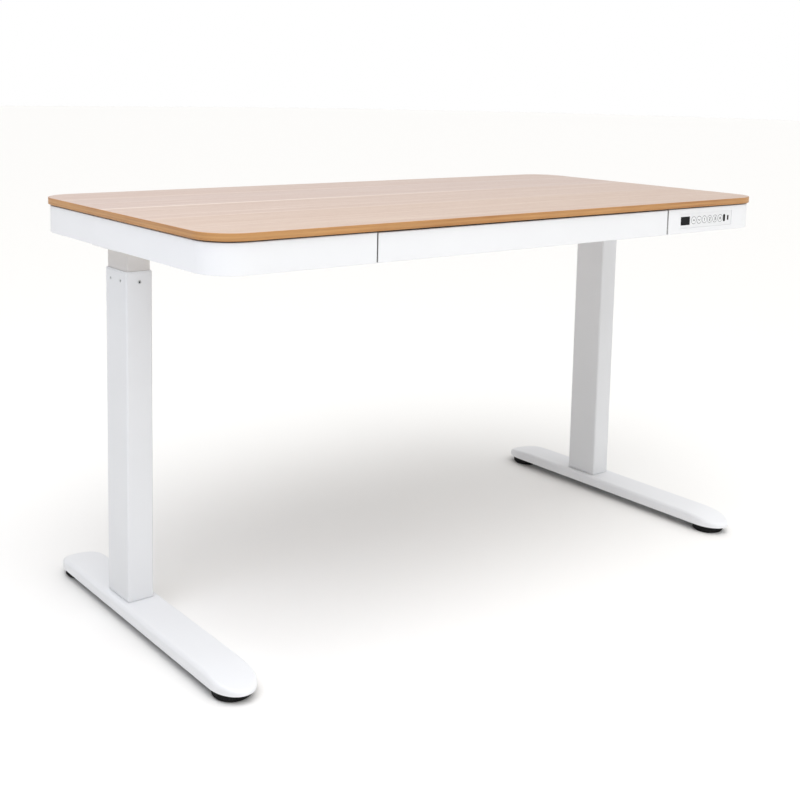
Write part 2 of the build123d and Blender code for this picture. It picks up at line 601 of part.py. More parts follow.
def panel_parts():
    face_y = FRONT_Y + PANEL_RECESS
    back_y = FRONT_BACK_Y + SHEET
    z = (APRON_MID - PANEL_HALF_Z, APRON_MID + PANEL_HALF_Z)
    bezel = block((PANEL_X[0] + PANEL_FIT, PANEL_X[1] - PANEL_FIT), (face_y, back_y),
                  (z[0] + PANEL_FIT, z[1] - PANEL_FIT))
    bezel += block((PANEL_X[0] - PANEL_FLANGE, PANEL_X[1] + PANEL_FLANGE), (FRONT_BACK_Y, back_y),
                   (z[0] - PANEL_FLANGE, z[1] + PANEL_FLANGE))
    for x in (PANEL_X[0] - PANEL_FLANGE / 2, PANEL_X[1] + PANEL_FLANGE / 2):
        for post_z in (z[0] - PANEL_FLANGE / 2, z[1] + PANEL_FLANGE / 2):
            bezel += rod_y(x, (back_y, BOARD_Y), post_z, PANEL_FLANGE / 2)
    circuit = block((PANEL_X[0] - PANEL_FLANGE, PANEL_X[1] + PANEL_FLANGE),
                    (BOARD_Y, BOARD_Y + CIRCUIT_THICKNESS),
                    (z[0] - PANEL_FLANGE, z[1] + PANEL_FLANGE))
    display = block(DISPLAY_X, (face_y - DISPLAY_PROUD, back_y + DISPLAY_BACK),
                    (APRON_MID - DISPLAY_HALF_Z, APRON_MID + DISPLAY_HALF_Z))
    display = fillet(display.edges().filter_by(Axis.Y), DISPLAY_CORNER_R)
    bezel -= display
    for centre_x, width, height, _, _ in (USB_A, USB_C):
        socket = block((centre_x - width / 2, centre_x + width / 2),
                       (face_y - CUT, face_y + PORT_DEPTH + CUT),
                       (APRON_MID - height / 2, APRON_MID + height / 2))
        bezel -= socket
        circuit -= socket
    parts = {"display_window": display, "usb_a_port": port(*USB_A), "usb_c_port": port(*USB_C)}
    for index in range(BUTTON_COUNT):
        x = button_x(index)
        bezel -= rod_y(x, (face_y - CUT, back_y + CUT), APRON_MID, BUTTON_HOLE_R)
        flange_y = (back_y + BUTTON_FLANGE[0], back_y + BUTTON_FLANGE[1])
        cap = rod_y(x, (face_y - BUTTON_PROUD, flange_y[1]), APRON_MID, BUTTON_R)
        cap = fillet(cap.edges().group_by(Axis.Y)[0], BUTTON_EDGE_R)
        cap += rod_y(x, flange_y, APRON_MID, BUTTON_FLANGE_R)
        stem = rod_y(x, (flange_y[1], BOARD_Y - BUTTON_STEM_GAP), APRON_MID, BUTTON_STEM_R)
        parts[f"button_{index + 1}"] = cap + stem
    parts["control_bezel"] = bezel
    parts["control_circuit"] = circuit
    return parts


# ---------------------------------------------------------------- power and wiring
def cable(points, radii, radius):
    """A round cable along straight runs joined by tangent arcs."""
    path = FilletPolyline(*points, radius=radii)
    return sweep(Plane(path @ 0, z_dir=path % 0) * Circle(radius), path=path)


def power_parts():
    width, depth, height = CONTROL_BOX
    box_y = (CONTROL_BOX_Y - depth / 2, CONTROL_BOX_Y + depth / 2)
    box_z = (BOARD_BOTTOM - height, BOARD_BOTTOM)
    control = block((-width / 2, width / 2), box_y, box_z)
    control = fillet(control.edges().filter_by(Axis.Z) + control.edges().group_by(Axis.Z)[0],
                     CONTROL_BOX_EDGE_R)
    inlet_width, inlet_height, inlet_depth = INLET_SIZE
    inlet = block((INLET_X - inlet_width / 2, INLET_X + inlet_width / 2), (REAR_Y - inlet_depth, REAR_Y),
                  (APRON_MID - inlet_height / 2, APRON_MID + inlet_height / 2))
    flange_width, flange_height, flange_depth = INLET_FLANGE
    flange = block((INLET_X - flange_width / 2, INLET_X + flange_width / 2),
                   (REAR_Y, REAR_Y + flange_depth),
                   (APRON_MID - flange_height / 2, APRON_MID + flange_height / 2))
    inlet += fillet(flange.edges().filter_by(Axis.Y), INLET_FLANGE_CORNER_R)
    recess_width, recess_height, recess_depth = INLET_RECESS
    mouth_y = REAR_Y + flange_depth
    inlet -= block((INLET_X - recess_width / 2, INLET_X + recess_width / 2),
                   (mouth_y - recess_depth, mouth_y + CUT),
                   (APRON_MID - recess_height / 2, APRON_MID + recess_height / 2))
    half_x, half_z = INLET_PIN_HALF
    for pin_x, pin_z in INLET_PINS:
        inlet += block((INLET_X + pin_x - half_x, INLET_X + pin_x + half_x),
                       (mouth_y - recess_depth, mouth_y - INLET_PIN_SETBACK),
                       (APRON_MID + pin_z - half_z, APRON_MID + pin_z + half_z))
    motor_end_y = LEG_Y + GEARBOX[1] / 2 + MOTOR_LENGTH + MOTOR_CAP
    motor_z = APRON_BOTTOM + SHEET + RAIL_SHEET + MOTOR_R + MOTOR_CLEARANCE
    lane_y = CONTROL_BOX_Y + depth / 2 - MOTOR_CABLE_LANE
    step_y = lane_y + MOTOR_CABLE_STEP_Y
    motor_cable = cable([(-width / 2, lane_y, motor_z), (-LEG_X + MOTOR_CABLE_STEP_XS[0], lane_y, motor_z),
                         (-LEG_X + MOTOR_CABLE_STEP_XS[1], step_y, motor_z), (-LEG_X, step_y, motor_z),
                         (-LEG_X, motor_end_y, motor_z)], MOTOR_CABLE_BENDS, MOTOR_CABLE_R)
    high_z = BOARD_BOTTOM - PANEL_CABLE_BELOW_BOARD
    low_z = APRON_MID + PANEL_CABLE_END_Z
    lane_x = PANEL_CABLE_LANE_X
    panel_cable = cable([(width / 2, PANEL_CABLE_EXIT_Y, high_z), (lane_x, PANEL_CABLE_EXIT_Y, high_z),
                         (lane_x, BOARD_Y + PANEL_CABLE_DROP_YS[0], high_z),
                         (lane_x, BOARD_Y + PANEL_CABLE_DROP_YS[1], low_z),
                         (lane_x, BOARD_Y + CIRCUIT_THICKNESS, low_z)], PANEL_CABLE_BENDS, PANEL_CABLE_R)
    return {"control_box": control, "power_inlet": inlet, "motor_cable": motor_cable,
            "panel_cable": panel_cable}


def build():
    parts = {}
    groups = {}
    for make in (board_parts, apron_parts, foot_parts, glide_parts, drive_parts, drawer_parts, panel_parts,
                 power_parts):
        parts.update(make())
    for side in SIDES:
        for make in (base_leg, top_leg):
            own, shared = make(side)
            parts.update(own)
            for name, solids in shared.items():
                groups.setdefault(name, []).extend(solids)
        parts[side + "_rail"] = side_rail(side)
    parts["board_screws"] = board_screws()
    for name, solids in groups.items():
        parts[name] = Compound(children=solids)
    return parts


os.makedirs("parts", exist_ok=True)
for node, shape in build().items():
    export_step(shape, f"parts/{node}.step")
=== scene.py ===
import math

import bmesh
import bpy
from bpy.props import FloatProperty, FloatVectorProperty, PointerProperty
from mathutils import Matrix, Vector


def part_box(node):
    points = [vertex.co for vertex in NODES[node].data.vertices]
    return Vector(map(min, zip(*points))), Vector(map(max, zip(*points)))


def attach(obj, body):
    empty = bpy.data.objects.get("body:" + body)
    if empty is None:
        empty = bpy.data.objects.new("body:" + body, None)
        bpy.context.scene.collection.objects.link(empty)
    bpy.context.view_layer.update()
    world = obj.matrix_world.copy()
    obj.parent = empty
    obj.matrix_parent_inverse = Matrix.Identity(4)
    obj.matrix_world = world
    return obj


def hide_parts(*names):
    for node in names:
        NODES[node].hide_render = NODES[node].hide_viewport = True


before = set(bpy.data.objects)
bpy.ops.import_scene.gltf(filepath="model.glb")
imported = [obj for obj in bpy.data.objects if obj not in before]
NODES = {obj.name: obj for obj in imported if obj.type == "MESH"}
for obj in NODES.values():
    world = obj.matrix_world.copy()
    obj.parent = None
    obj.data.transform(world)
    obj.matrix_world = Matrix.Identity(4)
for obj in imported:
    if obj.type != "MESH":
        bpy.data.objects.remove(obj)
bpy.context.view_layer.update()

bl_info = {
    "name": "Sit-stand desk finisher",
    "version": (1, 0, 0),
    "blender": (4, 5, 0),
    "location": "View3D > Sidebar > Desk",
    "description": "Finishes and fittings for a height adjustable desk with an oak top and white legs",
    "category": "Object",
}

# The whole script is in metres, in the desk's own frame: the front faces -Y, Z is up, the floor is at Z 0.
MM = 0.001
SIDES = ("left", "right")
GLIDES = [f"{side}_{end}_glide" for side in SIDES for end in ("front", "rear")]
BUTTONS = [f"button_{number}" for number in range(1, 7)]
RIM_RIBS = 48
MOTOR_LANE = 0.006         # from the control box's rear face to the motor cable's middle
DRAWER_GAP = 0.003         # between the drawer front and the aprons
PANEL_CABLE_RADIUS = 0.002
MOTOR_CABLE_RADIUS = 0.003
LIP_SINK = 0.00005         # how far lips and collars are sunk into the bezel
# Screws, in millimetres: head radius, head height, half the socket across flats, shank radius, shank length.
GEARBOX_SCREW = (2.7, 1.5, 1.2, 1.5, 3)
MOTOR_SCREW = (2.0, 1.1, 0.8, 1.2, 3)
BOX_SCREW = (2.6, 1.2, 1.1, 1.4, 2)
INLET_SCREW = (1.5, 0.7, 0.6, 0.9, 1.5)
STAVE_BLUR = 0.0015        # half the width over which one printed stave turns into the next
JOINT_HALF = 0.005         # half the width of the pale line between two staves
TOWARDS_FRONT = Vector((0, -1, 0))
TOWARDS_REAR = Vector((0, 1, 0))
UP = Vector((0, 0, 1))
DOWN = Vector((0, 0, -1))


# ------------------------------------------------------------------ colours and nodes
def srgb(code):
    """Turns an sRGB hex code into linear red, green and blue."""
    channels = [int(code[i:i + 2], 16) / 255 for i in (1, 3, 5)]
    return tuple(c / 12.92 if c <= 0.04045 else ((c + 0.055) / 1.055) ** 2.4 for c in channels)


def put(tree, node, **inputs):
    """Sets or links inputs of a node: underscores stand for spaces, and _0 is the first input."""
    for name, value in inputs.items():
        socket = node.inputs[int(name[1:])] if name[0] == "_" else node.inputs[name.replace("_", " ")]
        if isinstance(value, bpy.types.NodeSocket):
            tree.links.new(value, socket)
        elif socket.type == "RGBA" and len(value) == 3:
            socket.default_value = (*value, 1.0)
        else:
            socket.default_value = value


def add(tree, kind, settings=None, **inputs):
    """Adds one node with its settings and inputs."""
    made = tree.nodes.new(kind)
    for name, value in (settings or {}).items():
        setattr(made, name, value)
    put(tree, made, **inputs)
    return made


def started(name):
    """An empty node material, its tree and its shader."""
    material = bpy.data.materials.new(name)
    material.use_nodes = True
    tree = material.node_tree
    tree.nodes.clear()
    shader = add(tree, "ShaderNodeBsdfPrincipled")
    add(tree, "ShaderNodeOutputMaterial", Surface=shader.outputs["BSDF"])
    return material, tree, shader


def pattern(tree, size_mm, detail=2.0, roughness=0.5, distortion=0.0, offset=(0, 0, 0)):
    """A noise whose cells are size_mm long on each axis (one number, or one for each axis)."""
    sizes = size_mm if isinstance(size_mm, tuple) else (size_mm,) * 3
    place = add(tree, "ShaderNodeTexCoord").outputs["Object"]
    scaled = add(tree, "ShaderNodeMapping", Vector=place, Location=offset,
                 Scale=tuple(1 / (size * MM) for size in sizes)).outputs["Vector"]
    return add(tree, "ShaderNodeTexNoise", Vector=scaled, Scale=1.0, Detail=detail, Roughness=roughness,
               Distortion=distortion).outputs["Fac"]


def spread(tree, value, low, high, source=(0.3, 0.7)):
    """Maps a value from the source range to low and high, clamped: a noise mostly lies from 0.3 to 0.7."""
    return add(tree, "ShaderNodeMapRange", {"clamp": True}, Value=value, From_Min=source[0],
               From_Max=source[1], To_Min=low, To_Max=high).outputs["Result"]


def blend(tree, factor, first, second, mode="MIX"):
    """Mixes two colours by a factor."""
    return add(tree, "ShaderNodeMix", {"data_type": "RGBA", "blend_type": mode}, _0=factor, _6=first,
               _7=second).outputs[2]


def raised(tree, height, depth_mm, strength=1.0, over=None):
    """A bump whose full height is depth_mm, over another bump if given."""
    inputs = {"Height": height, "Distance": depth_mm * MM, "Strength": strength}
    if over is not None:
        inputs["Normal"] = over
    return add(tree, "ShaderNodeBump", **inputs).outputs["Normal"]


def distance_from(tree, value, place):
    """How far a value lies from a place, on either side."""
    beyond = add(tree, "ShaderNodeMath", {"operation": "SUBTRACT"}, _0=value, _1=place)
    return add(tree, "ShaderNodeMath", {"operation": "ABSOLUTE"}, _0=beyond.outputs[0]).outputs[0]


# ------------------------------------------------------------------ finishes
def oak_laminate(name, colours):
    """Melamine laminate printed as light oak, pressed with a satin, faintly grained face: wide staves, the
    front ones golden and the rear ones pinker, fine streaks along the desk, short dark pores, and a pale
    joint line between staves that fades towards the right."""
    material, tree, shader = started(name)
    figure = pattern(tree, (900.0, 11.0, 400.0), detail=3.0, roughness=0.5, distortion=0.10)
    streak = pattern(tree, (320.0, 2.6, 400.0), detail=4.0, roughness=0.6)
    fibre = pattern(tree, (60.0, 1.1, 400.0), detail=3.0, roughness=0.65, offset=(7, 3, 1))
    pore = pattern(tree, (14.0, 0.8, 400.0), detail=1.0, roughness=0.4, offset=(2, 9, 5))
    cloud = pattern(tree, (500.0, 60.0, 400.0), detail=2.0, offset=(3, 3, 9))
    place = add(tree, "ShaderNodeSeparateXYZ", Vector=add(tree, "ShaderNodeTexCoord").outputs["Object"])
    colour = blend(tree, spread(tree, cloud, 0.0, 0.5), colours.oak_golden, colours.oak_pale)
    for edge, tone, strength in ((-0.10, colours.oak_warm, 1.0), (0.05, colours.oak_pink, 1.0),
                                 (0.20, colours.oak_warm, 0.3)):
        beyond = spread(tree, place.outputs["Y"], 0.0, strength, (edge - STAVE_BLUR, edge + STAVE_BLUR))
        colour = blend(tree, beyond, colour, tone)
    colour = blend(tree, spread(tree, figure, 0.0, 0.40, (0.38, 0.70)), colour, colours.oak_brown)
    colour = blend(tree, spread(tree, streak, 0.0, 0.38, (0.42, 0.75)), colour, colours.oak_brown)
    colour = blend(tree, spread(tree, streak, 0.5, 0.0, (0.25, 0.45)), colour, colours.oak_light)
    colour = blend(tree, spread(tree, fibre, 0.0, 0.22, (0.40, 0.70)), colour, colours.oak_brown)
    colour = blend(tree, spread(tree, pore, 0.0, 0.40, (0.60, 0.72)), colour, colours.oak_pore)
    fading = spread(tree, place.outputs["X"], 1.0, 0.2, (-0.2, 0.3))
    for edge, strength in ((0.05, 0.7), (-0.10, 0.2), (0.20, 0.25)):
        distance = distance_from(tree, place.outputs["Y"], edge)
        line = spread(tree, distance, strength, 0.0, (JOINT_HALF * 0.3, JOINT_HALF))
        line = add(tree, "ShaderNodeMath", {"operation": "MULTIPLY"}, _0=line, _1=fading)
        colour = blend(tree, line.outputs[0], colour, colours.oak_light)
    underside = add(tree, "ShaderNodeMath", {"operation": "LESS_THAN"}, _0=place.outputs["Z"],
                    _1=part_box("desktop_board")[0].z + 0.5 * MM).outputs[0]
    colour = blend(tree, underside, colour, colours.backing)
    grain = raised(tree, streak, 0.05, 0.25)
    grain = raised(tree, pore, 0.04, 0.35, over=grain)
    put(tree, shader, Base_Color=colour, Roughness=spread(tree, fibre, 0.34, 0.46), Normal=grain, IOR=1.5,
        Specular_IOR_Level=0.5)
    return material


def oak_edge_band(name, colours):
    """ABS edge band printed as golden oak and scraped flush: fine level streaks that run round the desk,
    with a lighter band along the middle of the edge."""
    material, tree, shader = started(name)
    streak = pattern(tree, (160.0, 160.0, 1.1), detail=4.0, roughness=0.6)
    fibre = pattern(tree, (34.0, 34.0, 0.5), detail=2.0, roughness=0.6, offset=(4, 1, 8))
    cloud = pattern(tree, (120.0, 120.0, 30.0), detail=2.0, offset=(1, 6, 2))
    low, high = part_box("edge_band")
    height = add(tree, "ShaderNodeSeparateXYZ", Vector=add(tree, "ShaderNodeTexCoord").outputs["Object"])
    from_middle = distance_from(tree, height.outputs["Z"], (low.z + high.z) / 2)
    paler = spread(tree, from_middle, 0.35, 0.0, (0.0, 2.4 * MM))
    colour = blend(tree, spread(tree, streak, 0.0, 0.9, (0.38, 0.66)), colours.edge_golden,
                   colours.edge_brown)
    colour = blend(tree, spread(tree, fibre, 0.0, 0.4, (0.45, 0.72)), colour, colours.edge_brown)
    colour = blend(tree, spread(tree, cloud, 0.0, 0.3), colour, colours.edge_pale)
    colour = blend(tree, paler, colour, colours.edge_pale)
    put(tree, shader, Base_Color=colour, Roughness=spread(tree, cloud, 0.38, 0.48),
        Normal=raised(tree, streak, 0.04, 0.3), IOR=1.5)
    return material


def powder_coat(name, colours):
    """Polyester powder, baked: a satin skin with fine orange peel, and the slow unevenness of its gloss
    that makes large faces look like painted metal."""
    white, shade = (getattr(colours, key) for key in POWDER_COATS[name])
    material, tree, shader = started(name)
    peel = pattern(tree, 1.6, detail=2.0, roughness=0.55)
    speck = pattern(tree, 0.7, detail=1.0, offset=(3, 5, 7))
    drift = pattern(tree, 140.0, detail=2.0, offset=(9, 2, 4))
    colour = blend(tree, spread(tree, drift, 0.0, 0.35), white, shade)
    put(tree, shader, Base_Color=colour, Roughness=spread(tree, drift, 0.34, 0.44),
        Normal=raised(tree, speck, 0.008, 0.2, over=raised(tree, peel, 0.02, 0.35)), IOR=1.5)
    return material


def zinc_plated_steel(name, colours):
    """Steel with bright zinc plate, passivated: a cool grey metal with a faint blue and yellow cast that
    drifts from place to place."""
    material, tree, shader = started(name)
    cast = pattern(tree, 9.0, detail=3.0)
    draw = pattern(tree, (0.5, 0.5, 6.0), detail=2.0, offset=(5, 5, 1))
    colour = blend(tree, spread(tree, cast, 0.0, 0.6), colours.zinc, colours.zinc_warm)
    put(tree, shader, Base_Color=colour, Roughness=spread(tree, draw, 0.26, 0.42),
        Normal=raised(tree, draw, 0.01, 0.3), Metallic=1.0)
    return material


def ground_steel(name, colours):
    """Steel bar ground between centres: bright, with hairline rings across its length."""
    material, tree, shader = started(name)
    rings = pattern(tree, (0.4, 0.4, 0.25), detail=2.0)
    colour = blend(tree, spread(tree, rings, 0.0, 0.5), colours.ground_steel, colours.zinc)
    put(tree, shader, Base_Color=colour, Roughness=spread(tree, rings, 0.18, 0.32), Metallic=1.0)
    return material


def black_oxide_steel(name, colours):
    """Screw steel blackened hot and oiled: nearly black metal that is grey where light grazes it."""
    material, tree, shader = started(name)
    bloom = pattern(tree, 1.2, detail=3.0)
    colour = blend(tree, spread(tree, bloom, 0.0, 0.5), colours.oxide, colours.oxide_pale)
    put(tree, shader, Base_Color=colour, Roughness=spread(tree, bloom, 0.35, 0.5),
        Normal=raised(tree, bloom, 0.01, 0.3), Metallic=1.0)
    return material


def moulded(name, base, second, grain_mm, roughness, depth_mm=0.02, metallic=0.0, strength=0.4, gloss=0.5):
    """A moulded or cast surface: one colour that drifts to a second, with a sparked or grained skin."""
    material, tree, shader = started(name)
    grain = pattern(tree, grain_mm, detail=3.0, roughness=0.6)
    drift = pattern(tree, grain_mm * 24, detail=2.0, offset=(6, 2, 3))
    colour = blend(tree, spread(tree, drift, 0.0, 1.0), base, second)
    put(tree, shader, Base_Color=colour, Roughness=spread(tree, grain, roughness[0], roughness[1]),
        Normal=raised(tree, grain, depth_mm, strength), Metallic=metallic, Specular_IOR_Level=gloss)
    return material


def acrylic_window(name, colours):
    """Smoked acrylic, injection moulded: deep black with a hard clear gloss and a trace of flow."""
    material, tree, shader = started(name)
    flow = pattern(tree, 9.0, detail=2.0)
    colour = blend(tree, spread(tree, flow, 0.0, 1.0), colours.acrylic, colours.acrylic_pale)
    put(tree, shader, Base_Color=colour, Roughness=spread(tree, flow, 0.08, 0.13), IOR=1.49,
        Specular_IOR_Level=0.15)
    return material


# Moulded, cast and printed finishes: two colours, size of the grain in millimetres, range of roughness, and
# what differs from the defaults of moulded().
MOULDED_FINISHES = {
    # Glass-filled nylon, moulded: matt black, with the pale haze of fibre at the skin.
    "moulded_black_nylon": ("nylon", "nylon_haze", 0.8, (0.45, 0.62), {"gloss": 0.2}),
    # Acetal, moulded: pale grey, smooth and slightly waxy.
    "moulded_grey_acetal": ("acetal", "powder_shade", 0.6, (0.3, 0.4), {"depth_mm": 0.005}),
    # Dark brown fill for the gaps, dull, with open cells a third of a millimetre across: painted shadow in
    # the gap under the board and in the gaps beside the drawer front.
    "gap_painted_shadow_fill": ("gap_shadow_brown", "nylon", 0.35, (0.85, 0.95), {"depth_mm": 0.1, "strength": 0.8}),
    # Tin bronze, turned: warm metal with tool marks.
    "turned_bronze": ("bronze", "bronze_dark", 0.3, (0.25, 0.4), {"depth_mm": 0.01, "metallic": 1.0}),
    # Zinc-aluminium alloy, die cast and tumbled: dull grey metal, slightly mottled.
    "die_cast_zinc_alloy": ("cast_alloy", "zinc", 0.9, (0.42, 0.6), {"depth_mm": 0.04, "metallic": 1.0}),
    # Stoved black enamel on a drawn steel can: smooth and half gloss.
    "stoved_black_enamel": ("enamel", "nylon_haze", 1.4, (0.25, 0.38), {"depth_mm": 0.01}),
    # Black ABS from a spark-eroded mould: an even fine grain that takes the shine off.
    "sparked_black_abs": ("black_abs", "nylon_haze", 0.5, (0.48, 0.62), {"depth_mm": 0.04, "gloss": 0.3}),
    # White ABS from a fine-blasted mould: smooth, and a touch warmer and duller than the steel round it.
    "blasted_white_abs": (
        "white_abs", "powder_shade", 0.4, (0.4, 0.5), {"depth_mm": 0.008, "strength": 0.25}),
    # White ABS button cap from a polished mould: smoother than the bezel.
    "polished_white_abs": (
        "white_cap", "white_abs", 0.5, (0.28, 0.36), {"depth_mm": 0.004, "strength": 0.2}),
    # Epoxy circuit board with green solder mask: glossy, with a woven glass shadow.
    "green_solder_mask": ("solder_mask", "solder_mask_pale", 0.5, (0.22, 0.34), {"depth_mm": 0.01}),
    # Nickel plate on a stamped shell: bright and faintly yellow, with a drawn grain.
    "nickel_plated_steel": ("nickel", "zinc", 0.25, (0.2, 0.32), {"depth_mm": 0.004, "metallic": 1.0}),
    # Black nickel plate on a stamped shell: dark metal with a brownish cast.
    "black_nickel_plate": (
        "black_nickel", "oxide", 0.25, (0.25, 0.38), {"depth_mm": 0.004, "metallic": 1.0}),
    # Gold flash over nickel on spring contacts.
    "gold_flashed_contact": ("gold", "bronze", 0.2, (0.2, 0.3), {"depth_mm": 0.003, "metallic": 1.0}),
    # Liquid-crystal polymer in orange, moulded: a matt socket tongue.
    "orange_moulded_polymer": ("amber", "amber_dark", 0.3, (0.4, 0.5), {"depth_mm": 0.006}),
    # Black PVC, extruded: soft gloss with faint draw lines.
    "extruded_black_pvc": ("pvc", "nylon_haze", 0.7, (0.38, 0.5), {"depth_mm": 0.01}),
    # Dark grey pad-printed ink: flat and slightly uneven at its edges.
    "grey_pad_print": ("ink", "ink_thin", 0.15, (0.5, 0.62), {"depth_mm": 0.003}),
    # Mid grey pad-printed ink of the rings: flat, thinner than the marks.
    "pale_pad_print": ("ring_ink", "ink_thin", 0.15, (0.5, 0.62), {"depth_mm": 0.003}),
    # Matt painted board: the pale studio floor.
    "matt_painted_board": ("floor", "floor", 3.0, (0.85, 0.92), {"depth_mm": 0.01, "strength": 0.1}),
}


# Powder coats: the colour and its greyer shade.
POWDER_COATS = {
    # Sheet steel with white powder.
    "white_powder_coated_steel": ("powder_white", "powder_shade"),
    # The outer leg tubes: slightly greyer than the sheet steel.
    "grey_white_powder_coated_tube": ("tube_white", "tube_shade"),
    # The inner leg tubes: white powder coloured darker and warmer than the rest, as painted shade under the
    # apron and a painted brown reflection of the board's underside.
    "slider_coat_painted_shade": ("slider_white", "slider_shade"),
}

FINISH_MAKERS = {
    **dict.fromkeys(POWDER_COATS, powder_coat),
    "oak_melamine_laminate": oak_laminate,
    "golden_oak_abs_edge_band": oak_edge_band,
    "zinc_plated_steel": zinc_plated_steel,
    "ground_steel": ground_steel,
    "black_oxide_steel": black_oxide_steel,
    "smoked_acrylic": acrylic_window,
}


def finish(name):
    """The material of that name, made the first time it is asked for."""
    found = bpy.data.materials.get(name)
    if found:
        return found
    colours = bpy.context.scene.desk_colours
    if name in FINISH_MAKERS:
        return FINISH_MAKERS[name](name, colours)
    base, second, grain_mm, roughness, others = MOULDED_FINISHES[name]
    return moulded(name, getattr(colours, base), getattr(colours, second), grain_mm, roughness, **others)


def coat(finish_name, *nodes):
    """Gives CAD nodes a finish."""
    for node in nodes:
        part = NODES[node]
        if not part.material_slots:
            part.data.materials.append(None)
        for slot in part.material_slots:
            slot.material = finish(finish_name)


# ------------------------------------------------------------------ shapes
def standing_at(place, axis):
    """The matrix that puts local Z along axis, with its origin at place."""
    turn = UP.rotation_difference(Vector(axis)).to_matrix().to_4x4()
    return Matrix.Translation(Vector(place)) @ turn


def bridged(bm, rows):
    """Faces from each closed ring of vertices to the next: a ring may be a single point."""
    for low, high in zip(rows, rows[1:]):
        steps = max(len(low), len(high))
        for step in range(steps):
            after = (step + 1) % steps
            corners = [low[step % len(low)], low[after % len(low)], high[after % len(high)],
                       high[step % len(high)]]
            unique = list(dict.fromkeys(corners))
            if len(unique) > 2:
                bm.faces.new(unique)


def turned(bm, rings, at, steps=48):
    """A closed turned shape: rings of (radius, height, sides), from one end to the other. A ring with
    sides has flats, and its radius is to the middle of a flat."""
    rows = []
    for radius, height, *sides in rings:
        if radius == 0:
            rows.append([bm.verts.new(at @ Vector((0, 0, height)))])
            continue
        row = []
        for step in range(steps):
            angle = 2 * math.pi * step / steps
            reach = radius
            if sides and sides[0]:
                sector = 2 * math.pi / sides[0]
                reach = radius / math.cos(angle % sector - sector / 2)
            row.append(bm.verts.new(at @ Vector((reach * math.cos(angle), reach * math.sin(angle), height))))
        rows.append(row)
    bridged(bm, rows)
    return bm


def threaded(bm, radius, pitch, low, high, at, depth, steps=32, rows_per_pitch=8):
    """A closed rod with a real helical thread: its radius follows the turn and the height."""
    count = max(2, round((high - low) / pitch * rows_per_pitch))
    rows = []
    for level in range(count + 1):
        height = low + (high - low) * level / count
        row = []
        for step in range(steps):
            turn = step / steps
            phase = (height / pitch - turn) % 1.0
            cut = depth * (1 - abs(2 * phase - 1) * 2) if abs(2 * phase - 1) < 0.5 else 0.0
            reach = radius - cut
            angle = 2 * math.pi * turn
            row.append(bm.verts.new(at @ Vector((reach * math.cos(angle), reach * math.sin(angle), height))))
        rows.append(row)
    bridged(bm, rows)
    bm.faces.new(rows[0][::-1])
    bm.faces.new(rows[-1])
    return bm


def extruded(bm, outline, depth, at):
    """A flat outline in local X and Y, raised by depth along local Z."""
    low = [bm.verts.new(at @ Vector((x, y, 0))) for x, y in outline]
    high = [bm.verts.new(at @ Vector((x, y, depth))) for x, y in outline]
    bm.faces.new(low[::-1])
    bm.faces.new(high)
    bridged(bm, [low, high])
    return bm


def block(bm, low, high):
    """A box between two corners."""
    outline = [(low[0], low[1]), (high[0], low[1]), (high[0], high[1]), (low[0], high[1])]
    return extruded(bm, outline, high[2] - low[2], Matrix.Translation((0, 0, low[2])))


def rounded_outline(width, height, radius, steps=6):
    """A rounded rectangle about the origin, as a list of points."""
    points = []
    for corner, (sign_x, sign_y) in enumerate(((1, 1), (-1, 1), (-1, -1), (1, -1))):
        centre_x = sign_x * (width / 2 - radius)
        centre_y = sign_y * (height / 2 - radius)
        for step in range(steps + 1):
            angle = math.pi / 2 * (corner + step / steps)
            points.append((centre_x + radius * math.cos(angle), centre_y + radius * math.sin(angle)))
    return points


def ring_plate(bm, outer, inner, depth, at):
    """A flat frame between two outlines with the same number of points."""
    rows = [[bm.verts.new(at @ Vector((x, y, z))) for x, y in line]
            for line, z in ((outer, 0), (outer, depth), (inner, depth), (inner, 0))]
    bridged(bm, rows + rows[:1])
    return bm


def piece(name, bm, finish_name, body, bevel_mm=0.0, sharp_deg=32.0):
    """Turns a bmesh into a finished piece that rides on a body."""
    bmesh.ops.recalc_face_normals(bm, faces=bm.faces)
    mesh = bpy.data.meshes.new(name)
    bm.to_mesh(mesh)
    bm.free()
    if not mesh.polygons:
        raise RuntimeError(f"{name} has no faces")
    for face in mesh.polygons:
        face.use_smooth = True
    mesh.set_sharp_from_angle(angle=math.radians(sharp_deg))
    mesh.materials.append(finish(finish_name))
    made = bpy.data.objects.new(name, mesh)
    bpy.context.scene.collection.objects.link(made)
    if bevel_mm:
        edge = made.modifiers.new("broken_edges", "BEVEL")
        edge.width = bevel_mm * MM
        edge.segments = 2
        edge.limit_method = "ANGLE"
        edge.harden_normals = True
    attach(made, body)
    return made


def socket_head(head_radius, head_height, socket, shank_radius, shank_length):
    """The rings of a domed screw head with a hexagon socket, and the shank under it."""
    dome = [(head_radius * math.cos(angle), head_height * (0.25 + 0.75 * math.sin(angle)))
            for angle in (math.radians(degrees) for degrees in (0, 15, 30, 45))]
    return [(0, -shank_length), (shank_radius, -shank_length), (shank_radius, 0), (head_radius, 0)] + dome + [
        (socket + 0.25 * MM, head_height, 0), (socket, head_height - 0.1 * MM, 6), (socket, 0.12 * MM, 6),
        (0, 0.08 * MM)]


def extent(node):
    """The low corner, high corner and middle of a CAD node's box."""
    low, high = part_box(node)
    return low, high, (low + high) / 2


def corners_in(low, high, inset):
    """The four places in X and Y that lie inset from a box's corners."""
    return [(x, y) for x in (low.x + inset, high.x - inset) for y in (low.y + inset, high.y - inset)]


def screws(name, places, axis, head, finish_name, body):
    """One piece with a socket head screw at each place: head is what socket_head takes, in millimetres."""
    bm = bmesh.new()
    for place in places:
        turned(bm, socket_head(*(size * MM for size in head)), standing_at(place, axis))
    return piece(name, bm, finish_name, body)


